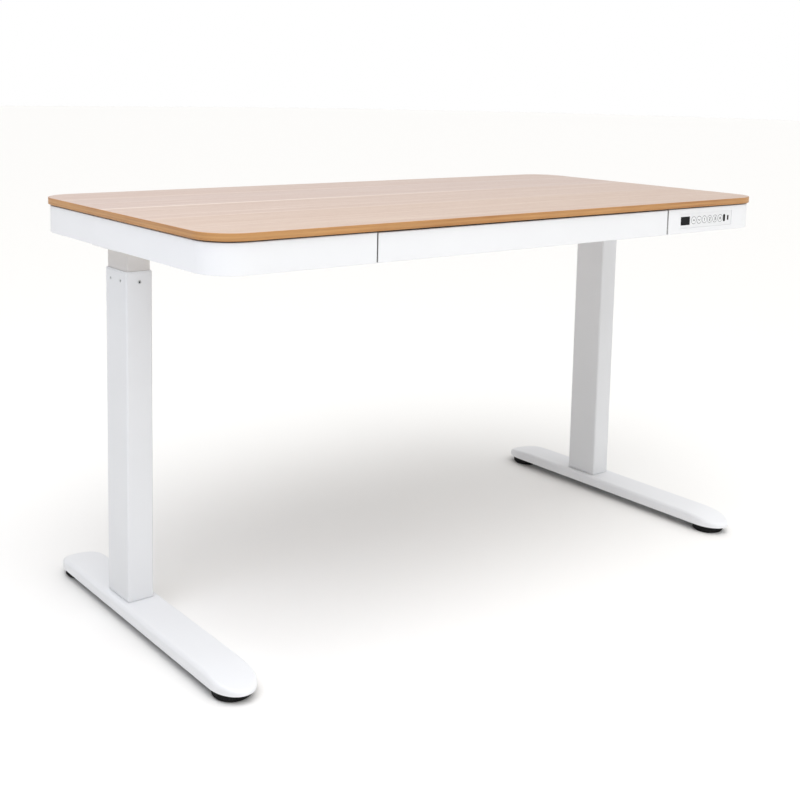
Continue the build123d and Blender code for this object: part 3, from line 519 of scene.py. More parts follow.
# ------------------------------------------------------------------ settings
def length(label, description, value_mm):
    """A length property, given in millimetres."""
    return FloatProperty(name=label, description=description, default=value_mm * MM, unit="LENGTH",
                         precision=5)


def colour(label, description, code):
    """A colour property, given as an sRGB hex code."""
    return FloatVectorProperty(name=label, description=description, default=srgb(code), subtype="COLOR",
                               size=3, min=0.0, max=1.0)


class DeskSizes(bpy.types.PropertyGroup):
    """Sizes of the small fittings."""
    stud_pitch: length("Stud pitch", "Thread pitch of the four glide studs", 1.25)
    stud_depth: length("Stud thread depth", "Depth of the glide studs' thread", 0.7)
    side_socket: length("Side screw socket", "Half the side screws' socket across flats", 1.0)
    front_socket: length("Front screw socket", "Half the front screws' socket across flats", 1.5)
    print_height: length("Print height", "How far the printed marks stand up", 0.05)
    mark_size: length("Mark size", "Height of the marks on the buttons", 5.2)
    mark_line: length("Mark line", "Line width of the marks on the buttons", 1.1)
    vent_slot: length("Vent slot", "Width of each vent slot in the control box", 2.5)
    clip_wall: length("Clip wall", "Thickness of the cable clips", 1.2)


class DeskColours(bpy.types.PropertyGroup):
    """Colours of the finishes."""
    oak_golden: colour("Golden oak", "Ground colour of the front staves", "#C9B2A0")
    oak_pale: colour("Pale oak", "Pale clouds in the front staves", "#CCB7AA")
    oak_warm: colour("Warm oak", "Ground colour of the middle staves", "#CAB5A8")
    oak_pink: colour("Pink oak", "Ground colour of the rear staves", "#C8B5AC")
    oak_light: colour("Light streak", "Lightest streaks and joint lines", "#F4E8DE")
    oak_brown: colour("Oak figure", "Brown figure and streaks", "#B99A87")
    oak_pore: colour("Oak pores", "Short dark pores", "#967661")
    backing: colour("Backing sheet", "Backing laminate under the board", "#86603F")
    edge_golden: colour("Golden edge", "Ground colour of the edge band", "#BD864B")
    edge_brown: colour("Edge streaks", "Darker streaks in the edge band", "#935F30")
    edge_pale: colour("Edge light", "Lighter streaks in the edge band", "#D0A36A")
    powder_white: colour("Powder white", "White powder coat", "#EAEBED")
    powder_shade: colour("Powder shade", "Where the powder coat is slightly greyer", "#E3E4E6")
    tube_white: colour("Tube white", "Powder coat on the outer leg tubes", "#E0E1E3")
    tube_shade: colour("Tube shade", "Greyer places on the outer leg tubes", "#D9DADC")
    # Darker, warmer white of the inner tubes: painted shade under the apron and painted brown reflection of
    # the board's underside.
    slider_white: colour("Slider white", "Powder coat on the inner leg tubes", "#D1CECC")
    slider_shade: colour("Slider shade", "Greyer places on the inner leg tubes", "#C6C1BD")
    zinc: colour("Zinc", "Bright zinc plate", "#C3C6CA")
    zinc_warm: colour("Warm zinc", "Yellow cast in the zinc plate", "#C6C5C0")
    ground_steel: colour("Ground steel", "Ground bar and spindles", "#B4B5B8")
    oxide: colour("Black oxide", "Blackened screws", "#3C3E43")
    oxide_pale: colour("Pale oxide", "Bloom on blackened screws", "#5A5D63")
    nylon: colour("Black nylon", "Glides and clips", "#070708")
    nylon_haze: colour("Nylon haze", "Paler haze on black plastics", "#0F0F10")
    acetal: colour("Acetal", "Guide sleeves in the legs", "#ECEDEE")
    # Dark brown of the gap fill: painted shadow in the gaps under the board and beside the drawer front.
    gap_shadow_brown: colour("Foam tape", "Spacer between board and apron", "#2B1A11")
    bronze: colour("Bronze", "Spindle nuts", "#C79A55")
    bronze_dark: colour("Dark bronze", "Tool marks on the nuts", "#A67C3D")
    cast_alloy: colour("Cast alloy", "Gearbox casings", "#A9ACB0")
    enamel: colour("Enamel", "Motor can", "#18191B")
    black_abs: colour("Black ABS", "Control box and power inlet", "#0D0D0E")
    white_abs: colour("White ABS", "Control panel bezel", "#E6E7E8")
    white_cap: colour("White caps", "Button caps", "#EAEBEC")
    solder_mask: colour("Solder mask", "Circuit board", "#0E4A2A")
    solder_mask_pale: colour("Pale solder mask", "Copper under the circuit board's mask", "#1C6A3C")
    acrylic: colour("Acrylic", "Display window", "#07080A")
    acrylic_pale: colour("Acrylic haze", "Paler places in the window", "#0D0F12")
    nickel: colour("Nickel", "Socket shells", "#C9C7C1")
    gold: colour("Gold", "Contacts", "#E2B659")
    amber: colour("Amber", "Tongue of the small socket", "#E08A30")
    amber_dark: colour("Dark amber", "Shaded tongue of the small socket", "#C4741F")
    pvc: colour("PVC", "Cable sheaths", "#101112")
    black_nickel: colour("Black nickel", "Socket shells in the panel", "#17130F")
    ink: colour("Ink", "Marks on the buttons", "#141618")
    ring_ink: colour("Ring ink", "Rings round the buttons", "#5A5E62")
    ink_thin: colour("Thin ink", "Thin places in the ink", "#3C4044")
    floor: colour("Floor", "Studio floor", "#F8F7F5")


# ------------------------------------------------------------------ operators
class DeskOperator:
    """What the desk's operators share."""
    bl_options = {"REGISTER", "UNDO"}


class DESK_OT_desktop(DeskOperator, bpy.types.Operator):
    """Finishes the board, its edge band and the spacer under it, coloured dark brown as painted shadow in the
    gap
    """
    bl_idname = "desk.desktop"
    bl_label = "Desktop"

    def execute(self, context):
        coat("oak_melamine_laminate", "desktop_board")
        coat("golden_oak_abs_edge_band", "edge_band")
        # The spacer's dark brown is painted shadow in the gap between board and apron.
        coat("gap_painted_shadow_fill", "shadow_spacer")
        return {"FINISHED"}


class DESK_OT_metalwork(DeskOperator, bpy.types.Operator):
    """Powder coats the aprons, drawer, legs, feet and under-frame"""
    bl_idname = "desk.metalwork"
    bl_label = "White steelwork"

    def execute(self, context):
        coat("white_powder_coated_steel", "left_apron", "right_apron", "rear_apron", "drawer_front",
             "drawer_tray", "crossbeam")
        for side in SIDES:
            coat("white_powder_coated_steel", f"{side}_foot_shell", f"{side}_mount_plate", f"{side}_rail")
            coat("grey_white_powder_coated_tube", f"{side}_outer_tube")
            coat("slider_coat_painted_shade", f"{side}_inner_tube")
        self.gap_shadow_strips()
        return {"FINISHED"}

    def gap_shadow_strips(self):
        """A dark strip down each gap beside the drawer front, fixed to the apron's end: painted shadow in the
        gaps.
        """
        low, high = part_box("drawer_front")
        clear = 0.2 * MM
        bm = bmesh.new()
        for inner, outer in ((low.x - clear, low.x - DRAWER_GAP), (high.x + clear, high.x + DRAWER_GAP)):
            block(bm, (min(inner, outer), low.y + 1.8 * MM, low.z + 1.0 * MM),
                  (max(inner, outer), low.y + 6.0 * MM, high.z - 1.0 * MM))
        # Dark strips that paint the shadow down the drawer gaps.
        piece("drawer_gap_painted_shadow", bm, "gap_painted_shadow_fill", "top")


class DESK_OT_drive(DeskOperator, bpy.types.Operator):
    """Finishes the lifting drive: spindles, nuts, guides, shaft, gearboxes and motor"""
    bl_idname = "desk.drive"
    bl_label = "Lifting drive"

    def execute(self, context):
        coat("ground_steel", "left_spindle", "right_spindle", "drive_shaft")
        coat("turned_bronze", "spindle_nuts")
        coat("zinc_plated_steel", "nut_tubes")
        coat("moulded_grey_acetal", "guide_sleeves")
        coat("die_cast_zinc_alloy", "left_gearbox", "right_gearbox")
        coat("stoved_black_enamel", "lift_motor")
        self.gearbox_screws()
        self.motor_details()
        return {"FINISHED"}

    def gearbox_screws(self):
        """Four cap screws in the lid of each gearbox."""
        for side in SIDES:
            low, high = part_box(f"{side}_gearbox")
            places = [(x, y, high.z) for x, y in corners_in(low, high, 6.5 * MM)]
            screws(f"{side}_gearbox_lid_screws", places, UP, GEARBOX_SCREW, "black_oxide_steel", "top")

    def motor_details(self):
        """Rolled bands round the motor can, its end-bell screws and the boot where its cable leaves."""
        low, high, centre = extent("lift_motor")
        radius = (high.x - low.x) / 2
        bm = bmesh.new()
        band = 2.2 * MM
        proud = 0.22 * MM
        for y in (low.y + 14 * MM, low.y + 70 * MM):
            rings = [(radius - proud, 0), (radius + proud * 0.4, 0), (radius + proud, band * 0.3),
                     (radius + proud, band * 0.7), (radius + proud * 0.4, band), (radius - proud, band)]
            at = standing_at((centre.x, y, centre.z), TOWARDS_REAR)
            turned(bm, rings + rings[:1], at, steps=64)
        piece("motor_can_bands", bm, "zinc_plated_steel", "top")
        angles = [math.radians(90 + 120 * index) for index in range(3)]
        circle = 13 * MM
        places = [(centre.x + circle * math.cos(angle), high.y - 12 * MM, centre.z + circle * math.sin(angle))
                  for angle in angles]
        screws("motor_end_screws", places, TOWARDS_REAR, MOTOR_SCREW, "black_oxide_steel", "top")
        bm = bmesh.new()
        sheath = 3.05 * MM
        boot = [(sheath, 16 * MM), (sheath + 0.6 * MM, 16 * MM), (sheath + 1.0 * MM, 9 * MM),
                (5.4 * MM, 2 * MM), (6.2 * MM, 0.4 * MM), (6.2 * MM, 0), (sheath, 0)]
        turned(bm, boot + boot[:1], standing_at((centre.x, high.y, centre.z), TOWARDS_REAR))
        piece("motor_cable_boot", bm, "moulded_black_nylon", "top")


class DESK_OT_hardware(DeskOperator, bpy.types.Operator):
    """Finishes the hidden plates, bolts, inserts and drawer slides"""
    bl_idname = "desk.hardware"
    bl_label = "Plates, bolts and slides"

    def execute(self, context):
        coat("zinc_plated_steel", "glide_inserts", "foot_bolts", "leg_bolts", "board_screws")
        for side in SIDES:
            coat("zinc_plated_steel", f"{side}_foot_stiffener", f"{side}_drawer_runner",
                 f"{side}_drawer_slide")
            coat("white_powder_coated_steel", f"{side}_tube_base_plate")
        return {"FINISHED"}


class DESK_OT_glides(DeskOperator, bpy.types.Operator):
    """Makes the four screw glides: a ribbed nylon pad with a hexagon collar on a threaded stud"""
    bl_idname = "desk.glides"
    bl_label = "Glides"

    def execute(self, context):
        sizes = context.scene.desk_sizes
        pad_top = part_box("left_foot_shell")[0].z
        collar_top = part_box("glide_inserts")[0].z
        for node in GLIDES:
            low, high, centre = extent(node)
            at = standing_at((centre.x, centre.y, low.z), UP)
            self.pad(node, at, (high.x - low.x) / 2, pad_top, collar_top)
            bm = bmesh.new()
            threaded(bm, 4.0 * MM, sizes.stud_pitch, collar_top - 0.4 * MM, high.z - low.z, at,
                     sizes.stud_depth)
            piece(f"{node}_stud", bm, "zinc_plated_steel", node)
        return {"FINISHED"}

    def pad(self, node, at, radius, pad_top, collar_top):
        """The pad with its ribbed rim, and the hexagon collar above it."""
        rim_low = 2.6 * MM
        rim_high = pad_top - 2.6 * MM
        sole = radius - 4 * MM
        rings = [(0, 0.6 * MM), (sole - 6 * MM, 0.6 * MM), (sole - 6.6 * MM, 0), (sole, 0)]
        rings += [(sole + 2 * MM * math.sin(angle), 2 * MM * (1 - math.cos(angle)))
                  for angle in (math.radians(degrees) for degrees in (20, 45, 70, 90))]
        rings += [(radius - 0.9 * MM, rim_low), (radius - 0.9 * MM, rim_high),
                  (radius - 0.2 * MM, rim_high + 0.2 * MM),
                  (radius - 0.2 * MM, pad_top - 1.2 * MM), (radius - 0.6 * MM, pad_top - 0.5 * MM),
                  (radius - 1.6 * MM, pad_top - 0.1 * MM), (12.0 * MM, pad_top - 0.1 * MM),
                  (11.0 * MM, pad_top), (7.2 * MM, pad_top, 6), (7.2 * MM, collar_top - 0.5 * MM, 6),
                  (6.6 * MM, collar_top - 0.1 * MM, 6), (0, collar_top - 0.1 * MM)]
        bm = bmesh.new()
        turned(bm, rings, at, steps=96)
        for index in range(RIM_RIBS):
            turn = at @ Matrix.Rotation(2 * math.pi * index / RIM_RIBS, 4, "Z")
            turned(bm, [(0, rim_low), (0.6 * MM, rim_low), (0.6 * MM, rim_high), (0, rim_high)],
                   turn @ Matrix.Translation((radius - 0.9 * MM, 0, 0)), steps=8)
        made = piece(f"{node}_pad", bm, "moulded_black_nylon", node)
        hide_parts(node)


class DESK_OT_guide_screws(DeskOperator, bpy.types.Operator):
    """Makes the guide screws near the top of each leg: domed heads with hexagon sockets"""
    bl_idname = "desk.guide_screws"
    bl_label = "Guide screws"

    def execute(self, context):
        sizes = context.scene.desk_sizes
        low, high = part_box("sleeve_screws")
        side_radius = 2.2 * MM
        front_radius = 3.2 * MM
        side_z = high.z - side_radius
        front_z = low.z + front_radius
        for side, sign in (("left", -1), ("right", 1)):
            tube_low, tube_high, centre = extent(f"{side}_outer_tube")
            face_x = tube_low.x if side == "left" else tube_high.x
            spread_y = high.y - side_radius - centre.y
            bm = bmesh.new()
            for y in (centre.y - spread_y, centre.y + spread_y):
                rings = socket_head(side_radius, 0.9 * MM, sizes.side_socket, 1.45 * MM, 1.9 * MM)
                turned(bm, rings, standing_at((face_x, y, side_z), (sign, 0, 0)))
            made = piece(f"{side}_side_guide_screws", bm, "zinc_plated_steel", "base")
            if side == "left":
                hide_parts("sleeve_screws")
            head = standing_at((centre.x, tube_low.y, front_z), TOWARDS_FRONT)
            bm = bmesh.new()
            turned(bm, socket_head(front_radius, 0.9 * MM, sizes.front_socket, 1.45 * MM, 1.9 * MM), head)
            piece(f"{side}_front_guide_screw", bm, "zinc_plated_steel", "base")
            # A black disc at the floor of each front screw's socket: painted shade in the recess.
            bm = bmesh.new()
            across = sizes.front_socket * 0.98
            turned(bm, [(0, 0.10 * MM), (across, 0.10 * MM, 6), (across, 0.2 * MM, 6), (0, 0.2 * MM)], head)
            piece(f"{side}_front_screw_socket", bm, "black_oxide_steel", "base")
        return {"FINISHED"}


class DESK_OT_control_panel(DeskOperator, bpy.types.Operator):
    """Finishes the control panel: bezel, display window, six marked buttons and two sockets"""
    bl_idname = "desk.control_panel"
    bl_label = "Control panel"

    def execute(self, context):
        self.sizes = context.scene.desk_sizes
        coat("blasted_white_abs", "control_bezel")
        coat("smoked_acrylic", "display_window")
        coat("green_solder_mask", "control_circuit")
        coat("polished_white_abs", *BUTTONS)
        coat("black_nickel_plate", "usb_a_port", "usb_c_port")
        self.bezel_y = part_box("control_bezel")[0].y
        self.display_lip()
        self.button_rings()
        for node, mark in zip(BUTTONS, ("rise", "sink", "1", "2", "3", "keep")):
            self.button_mark(node, mark)
        self.collars()
        self.socket_inside("usb_a_port", "sparked_black_abs", 0.6 * MM, (1.6 * MM, 9.0 * MM), 4)
        self.socket_inside("usb_c_port", "orange_moulded_polymer", 0.0, (0.8 * MM, 6.4 * MM), 8)
        return {"FINISHED"}

    def facing(self, x, y, z):
        """Local X along the desk, local Y up, and local Z towards the front."""
        return Matrix.Translation((x, y, z)) @ Matrix.Rotation(math.pi / 2, 4, "X")

    def display_lip(self):
        """A fine moulded lip round the display window."""
        low, high, centre = extent("display_window")
        width = high.x - low.x
        height = high.z - low.z
        outer = rounded_outline(width + 0.9 * MM, height + 0.9 * MM, 1.3 * MM)
        inner = rounded_outline(width + 0.06 * MM, height + 0.06 * MM, 0.85 * MM)
        bm = bmesh.new()
        ring_plate(bm, outer, inner, 0.28 * MM, self.facing(centre.x, self.bezel_y + LIP_SINK, centre.z))
        piece("display_lip", bm, "blasted_white_abs", "top", bevel_mm=0.08)

    def collars(self):
        """Black moulded collars round both sockets."""
        bm = bmesh.new()
        for node, margin in (("usb_a_port", 0.7 * MM), ("usb_c_port", 0.5 * MM)):
            low, high, centre = extent(node)
            width = high.x - low.x
            height = high.z - low.z
            radius = min(width, height) * 0.3
            outer = rounded_outline(width + 2 * margin, height + 2 * margin, radius + margin)
            inner = rounded_outline(width - 0.5 * MM, height - 0.5 * MM, radius)
            ring_plate(bm, outer, inner, 0.3 * MM, self.facing(centre.x, self.bezel_y + LIP_SINK, centre.z))
        piece("socket_collars", bm, "sparked_black_abs", "top", bevel_mm=0.06)

    def printed_ring(self, inner, outer):
        """The rings of a flat printed circle."""
        high = self.sizes.print_height
        return [(inner, 0), (outer, 0), (outer, high), (inner, high), (inner, 0)]

    def button_rings(self):
        """A grey printed ring round every button."""
        bm = bmesh.new()
        for node in BUTTONS:
            centre = extent(node)[2]
            at = standing_at((centre.x, self.bezel_y, centre.z), TOWARDS_FRONT)
            turned(bm, self.printed_ring(6.3 * MM, 7.0 * MM), at, steps=64)
        piece("button_rings", bm, "pale_pad_print", "top")

    def strokes(self, bm, lines, scale, at):
        """Straight strokes of the mark's line width, raised by the print height."""
        half = self.sizes.mark_line / 2
        for start, end in lines:
            start, end = Vector(start) * scale, Vector(end) * scale
            along = (end - start).normalized()
            across = Vector((-along.y, along.x)) * half
            start, end = start - along * half * 0.6, end + along * half * 0.6
            outline = [start - across, end - across, end + across, start + across]
            extruded(bm, [(point.x, point.y) for point in outline], self.sizes.print_height, at)

    def button_mark(self, node, mark):
        """The mark on one button: an arrow, a numeral, or a ring with a dot. Stroke ends are given as
        shares of half the mark's size."""
        low, _, centre = extent(node)
        at = self.facing(centre.x, low.y, centre.z)
        half = self.sizes.mark_size / 2
        bm = bmesh.new()
        segments = {
            "rise": [((-1, -0.45), (0, 0.55)), ((1, -0.45), (0, 0.55))],
            "sink": [((-1, 0.45), (0, -0.55)), ((1, 0.45), (0, -0.55))],
            "1": [((0, -1), (0, 1)), ((0, 1), (-0.4, 0.6))],
            "2": [((-0.5, 1), (0.5, 1)), ((0.5, 1), (0.5, 0)), ((0.5, 0), (-0.5, 0)), ((-0.5, 0), (-0.5, -1)),
                  ((-0.5, -1), (0.5, -1))],
            "3": [((-0.5, 1), (0.5, 1)), ((0.5, 1), (0.5, -1)), ((0.5, 0), (-0.4, 0)),
                  ((0.5, -1), (-0.5, -1))],
        }
        if mark == "keep":
            line = self.sizes.mark_line
            turned(bm, self.printed_ring(half - line, half), at, steps=40)
            turned(bm, self.printed_ring(0, line * 0.7)[:-1], at, steps=20)
        else:
            self.strokes(bm, segments[mark], half, at)
        piece(f"{node}_mark", bm, "grey_pad_print", node)

    def socket_inside(self, node, finish_name, shift, tongue, contacts):
        """The tongue of a socket with its row of spring contacts, round the CAD tongue."""
        low, high, centre = extent(node)
        skin = 0.06 * MM
        half_x = tongue[0] / 2 + skin
        half_z = tongue[1] / 2 + skin
        front = low.y + 0.9 * MM
        back = high.y - 1.6 * MM
        x = centre.x + shift
        bm = bmesh.new()
        block(bm, (x - half_x, front, centre.z - half_z), (x + half_x, back, centre.z + half_z))
        piece(f"{node}_tongue", bm, finish_name, "top", bevel_mm=0.1)
        bm = bmesh.new()
        pitch = (2 * half_z - 1.2 * MM) / contacts
        for index in range(contacts):
            z = centre.z - half_z + 0.6 * MM + pitch * (index + 0.5)
            block(bm, (x - half_x - 0.08 * MM, front + 0.7 * MM, z - pitch * 0.25),
                  (x - half_x + 0.02 * MM, back, z + pitch * 0.25))
        piece(f"{node}_contacts", bm, "gold_flashed_contact", "top")


class DESK_OT_control_box(DeskOperator, bpy.types.Operator):
    """Makes the vented control box under the board, with its screws and plugs"""
    bl_idname = "desk.control_box"
    bl_label = "Control box"

    def execute(self, context):
        sizes = context.scene.desk_sizes
        low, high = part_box("control_box")
        made = self.vented_case(low, high, sizes)
        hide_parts("control_box")
        places = [(x, y, low.z) for x, y in corners_in(low, high, 9 * MM)]
        screws("control_box_screws", places, DOWN, BOX_SCREW, "zinc_plated_steel", "top")
        self.plugs(low, high)
        return {"FINISHED"}

    def vented_case(self, low, high, sizes):
        """A case with two banks of sunk vent slots in its lower face."""
        slot = sizes.vent_slot
        xs, slots_x = [low.x], []
        for bank in (low.x + 34 * MM, low.x + 124 * MM):
            for index in range(11):
                start = bank + index * slot * 2.2
                slots_x.append(len(xs))
                xs += [start, start + slot]
        xs.append(high.x)
        ys = [low.y, low.y + 18 * MM, high.y - 18 * MM, high.y]
        bm = bmesh.new()
        grid = [[bm.verts.new((x, y, low.z)) for x in xs] for y in ys]
        sunk = []
        for row in range(len(ys) - 1):
            for column in range(len(xs) - 1):
                face = bm.faces.new((grid[row][column], grid[row][column + 1], grid[row + 1][column + 1],
                                     grid[row + 1][column]))
                if row == 1 and column in slots_x:
                    sunk.append(face)
        for face in sunk:
            corners = list(face.verts)
            bm.faces.remove(face)
            deep = [bm.verts.new(vert.co + Vector((0, 0, 3 * MM))) for vert in corners]
            bridged(bm, [corners, deep])
            bm.faces.new(deep)
        right_edge = [row[-1] for row in grid[1:]]
        left_edge = [row[0] for row in grid[-2:0:-1]]
        rim = grid[0] + right_edge + grid[-1][-2::-1] + left_edge
        upper = [bm.verts.new((vert.co.x, vert.co.y, high.z)) for vert in rim]
        bridged(bm, [rim, upper])
        bm.faces.new(upper)
        return piece("control_box_case", bm, "sparked_black_abs", "top", bevel_mm=0.7)

    def plugs(self, low, high):
        """The cable plugs at both ends of the box."""
        panel_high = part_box("panel_cable")[1]
        lane_y = high.y - MOTOR_LANE
        lane_z = extent("motor_cable")[2].z
        bm = bmesh.new()
        block(bm, (low.x - 13 * MM, lane_y - 7 * MM, lane_z - 5 * MM),
              (low.x + 0.5 * MM, lane_y + 7 * MM, lane_z + 5 * MM))
        piece("motor_cable_plug", bm, "moulded_black_nylon", "top", bevel_mm=1.0)
        bm = bmesh.new()
        lane_y = panel_high.y - PANEL_CABLE_RADIUS
        top_z = panel_high.z + 0.6 * MM
        block(bm, (high.x - 0.5 * MM, lane_y - 6 * MM, top_z - 7.5 * MM),
              (high.x + 11 * MM, lane_y + 6 * MM, top_z))
        piece("panel_cable_plug", bm, "moulded_black_nylon", "top", bevel_mm=0.8)


class DESK_OT_wiring(DeskOperator, bpy.types.Operator):
    """Finishes the two cables and makes the clips that hold them under the board"""
    bl_idname = "desk.wiring"
    bl_label = "Cables and clips"

    def execute(self, context):
        coat("extruded_black_pvc", "motor_cable", "panel_cable")
        wall = context.scene.desk_sizes.clip_wall
        board_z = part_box("desktop_board")[0].z
        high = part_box("panel_cable")[1]
        lanes = (("panel", (180, 270, 350), high.y - PANEL_CABLE_RADIUS, high.z - PANEL_CABLE_RADIUS,
                  PANEL_CABLE_RADIUS),
                 ("motor", (-200, -310, -420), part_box("control_box")[1].y - MOTOR_LANE,
                  extent("motor_cable")[2].z, MOTOR_CABLE_RADIUS))
        for cable, places_mm, y, z, radius in lanes:
            for index, x in enumerate(places_mm, start=1):
                self.saddle(f"{cable}_cable_clip_{index}", x * MM, y, z, radius, wall, board_z)
        return {"FINISHED"}

    def saddle(self, name, x, y, z, cable_radius, wall, board_z):
        """A nylon saddle: a band under the cable with two straps up to feet on the board."""
        inner = cable_radius + 0.05 * MM
        outer = inner + wall
        foot = 6 * MM
        sole = board_z - wall
        steps = 12
        angles = [math.pi + math.pi * step / steps for step in range(steps + 1)]
        arc = [(math.cos(angle), math.sin(angle)) for angle in angles]
        outside = [(-outer - foot, board_z), (-outer - foot, sole), (-outer, sole)]
        outside += [(outer * cos, z + outer * sin) for cos, sin in arc]
        outside += [(outer, sole), (outer + foot, sole), (outer + foot, board_z), (inner, board_z)]
        outside += [(inner * cos, z + inner * sin) for cos, sin in reversed(arc)]
        outside += [(-inner, board_z)]
        width = 7 * MM
        along_x = Matrix(((0, 0, 1), (1, 0, 0), (0, 1, 0))).to_4x4()
        at = Matrix.Translation((x - width / 2, y, 0)) @ along_x
        bm = bmesh.new()
        extruded(bm, outside, width, at)
        piece(name, bm, "moulded_black_nylon", "top", bevel_mm=0.25)


class DESK_OT_power_inlet(DeskOperator, bpy.types.Operator):
    """Finishes the power inlet: nickel plated blades and the screws in its flange"""
    bl_idname = "desk.power_inlet"
    bl_label = "Power inlet"

    def execute(self, context):
        coat("sparked_black_abs", "power_inlet")
        low, high, centre = extent("power_inlet")
        skin = 0.05 * MM
        bm = bmesh.new()
        half_x = 1 * MM + skin
        half_z = 2 * MM + skin
        for x_mm, z_mm in ((-7.0, -1.0), (7.0, -1.0), (0.0, 4.5)):
            x = centre.x + x_mm * MM
            z = centre.z + z_mm * MM
            block(bm, (x - half_x, high.y - 14.9 * MM, z - half_z),
                  (x + half_x, high.y - 2 * MM + skin, z + half_z))
        piece("power_inlet_blades", bm, "nickel_plated_steel", "top", bevel_mm=0.35)
        places = [(x, high.y, centre.z) for x in (low.x + 2.2 * MM, high.x - 2.2 * MM)]
        screws("power_inlet_screws", places, TOWARDS_REAR, INLET_SCREW, "black_oxide_steel", "top")
        return {"FINISHED"}


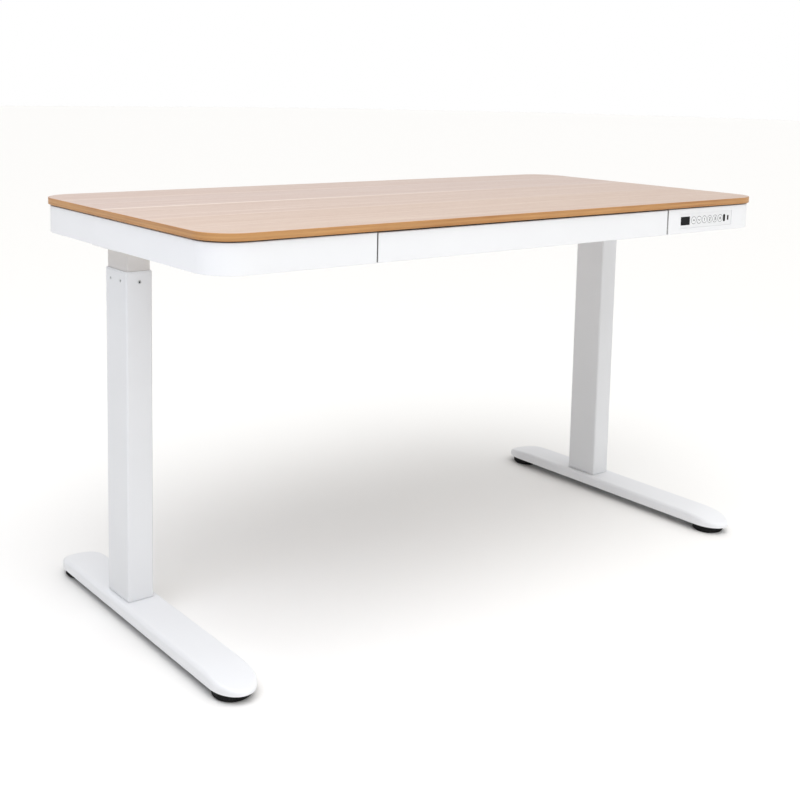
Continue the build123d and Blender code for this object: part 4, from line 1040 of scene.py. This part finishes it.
class DESK_OT_stage(DeskOperator, bpy.types.Operator):
    """Makes the studio: a pale floor, soft lights and the camera"""
    bl_idname = "desk.stage"
    bl_label = "Studio"

    def execute(self, context):
        self.floor()
        self.world(context.scene)
        self.light("front_panel", "AREA", (0.3, -3.4, 1.2), (0, 0, 0.45), 2.4, 5.0, "#FFFFFF")
        self.light("left_panel", "AREA", (-1.25, -0.3, 1.25), (-0.6, 0, 0.6), 0.8, 2.7, "#E2EAFF")
        self.light("overhead_panel", "AREA", (-0.6, -0.7, 2.3), (-0.2, 0, 0.6), 1.6, 9.0, "#FFFFFF")
        self.light("ceiling", "SUN", (-0.8, -1.4, 3.0), (0, 0, 0), math.radians(60), 1.05, "#FFFFFF")
        self.camera(context.scene)
        context.scene.view_settings.view_transform = "Standard"
        return {"FINISHED"}

    def floor(self):
        """A wide flat floor with rounded corners, whose far edge meets the bright band of the studio."""
        reach = 30.0
        bm = bmesh.new()
        outline = rounded_outline(2 * reach, 2 * reach, reach * 0.5, steps=12)
        bm.faces.new([bm.verts.new((x, y, 0)) for x, y in outline])
        mesh = bpy.data.meshes.new("studio_floor")
        bm.to_mesh(mesh)
        bm.free()
        mesh.materials.append(finish("matt_painted_board"))
        made = bpy.data.objects.new("studio_floor", mesh)
        bpy.context.scene.collection.objects.link(made)

    def world(self, scene):
        """White studio walls under a bright ceiling: dimmest on the desk's left, with a white band at the
        level of the floor's far edge."""
        world = bpy.data.worlds.new("white_studio")
        world.use_nodes = True
        tree = world.node_tree
        tree.nodes.clear()
        way = add(tree, "ShaderNodeTexCoord").outputs["Generated"]
        lean = add(tree, "ShaderNodeVectorMath", {"operation": "DOT_PRODUCT"}, _0=way, _1=(0.25, 0.0, 0.75))
        level = add(tree, "ShaderNodeMath", {"operation": "ADD"}, _0=lean.outputs["Value"], _1=0.335)
        towards = add(tree, "ShaderNodeSeparateXYZ", Vector=way)
        left_wall = spread(tree, towards.outputs["X"], -0.40, 0.0, (-1.0, 0.0))
        room = add(tree, "ShaderNodeMath", {"operation": "ADD"}, _0=level.outputs[0], _1=left_wall)
        band = spread(tree, towards.outputs["Z"], 1.0, 0.0, (0.12, 0.22))
        strength = add(tree, "ShaderNodeMath", {"operation": "MAXIMUM"}, _0=room.outputs[0], _1=band)
        glow = add(tree, "ShaderNodeBackground", Color=srgb("#FFFFFF"), Strength=strength.outputs[0])
        add(tree, "ShaderNodeOutputWorld", Surface=glow.outputs["Background"])
        scene.world = world

    def light(self, name, kind, place, target, size, power, tint):
        """A soft light that faces a target: size is a panel's side, or the angle of a far ceiling."""
        data = bpy.data.lights.new(name, kind)
        setattr(data, "angle" if kind == "SUN" else "size", size)
        data.energy = power
        data.color = srgb(tint)
        lamp = bpy.data.objects.new(name, data)
        bpy.context.scene.collection.objects.link(lamp)
        lamp.location = place
        lamp.rotation_euler = (Vector(target) - Vector(place)).to_track_quat("-Z", "Y").to_euler()

    def camera(self, scene):
        """A standing viewer's place, left of the desk's front, looking slightly down."""
        data = bpy.data.cameras.new("viewer")
        data.sensor_width = 36.0
        data.lens = 53.455
        data.shift_x = -0.0161
        data.shift_y = -0.2125
        data.dof.use_dof = False
        data.clip_end = 200.0
        yaw, pitch, roll = math.radians(38.95), math.radians(-7.10), math.radians(1.30)
        ahead = Vector((math.sin(yaw) * math.cos(pitch), math.cos(yaw) * math.cos(pitch), math.sin(pitch)))
        right = Vector((math.cos(yaw), -math.sin(yaw), 0))
        above = right.cross(ahead)
        tilted_right = right * math.cos(roll) + above * math.sin(roll)
        tilted_above = above * math.cos(roll) - right * math.sin(roll)
        turn = Matrix((tilted_right, tilted_above, -ahead)).transposed().to_4x4()
        viewer = bpy.data.objects.new("viewer", data)
        scene.collection.objects.link(viewer)
        viewer.matrix_world = Matrix.Translation((-1.3630, -1.6583, 0.8726)) @ turn
        scene.camera = viewer


# ------------------------------------------------------------------ add-on
OPERATORS = (
    DESK_OT_desktop,
    DESK_OT_metalwork,
    DESK_OT_drive,
    DESK_OT_hardware,
    DESK_OT_glides,
    DESK_OT_guide_screws,
    DESK_OT_control_panel,
    DESK_OT_control_box,
    DESK_OT_wiring,
    DESK_OT_power_inlet,
    DESK_OT_stage,
)


class DESK_PT_panel(bpy.types.Panel):
    """Lists the desk's steps and their settings"""
    bl_idname = "DESK_PT_panel"
    bl_label = "Sit-stand desk"
    bl_space_type = "VIEW_3D"
    bl_region_type = "UI"
    bl_category = "Desk"

    def draw(self, context):
        for operator in OPERATORS:
            self.layout.operator(operator.bl_idname)
        for group in (context.scene.desk_sizes, context.scene.desk_colours):
            box = self.layout.box()
            for name in group.__annotations__:
                box.prop(group, name)


CLASSES = (DeskSizes, DeskColours, *OPERATORS, DESK_PT_panel)


def register():
    for made in CLASSES:
        bpy.utils.register_class(made)
    bpy.types.Scene.desk_sizes = PointerProperty(type=DeskSizes)
    bpy.types.Scene.desk_colours = PointerProperty(type=DeskColours)


def unregister():
    del bpy.types.Scene.desk_colours
    del bpy.types.Scene.desk_sizes
    for made in reversed(CLASSES):
        bpy.utils.unregister_class(made)


def main():
    register()
    for operator in OPERATORS:
        category, name = operator.bl_idname.split(".")
        getattr(getattr(bpy.ops, category), name)()


if __name__ == "__main__":
    main()
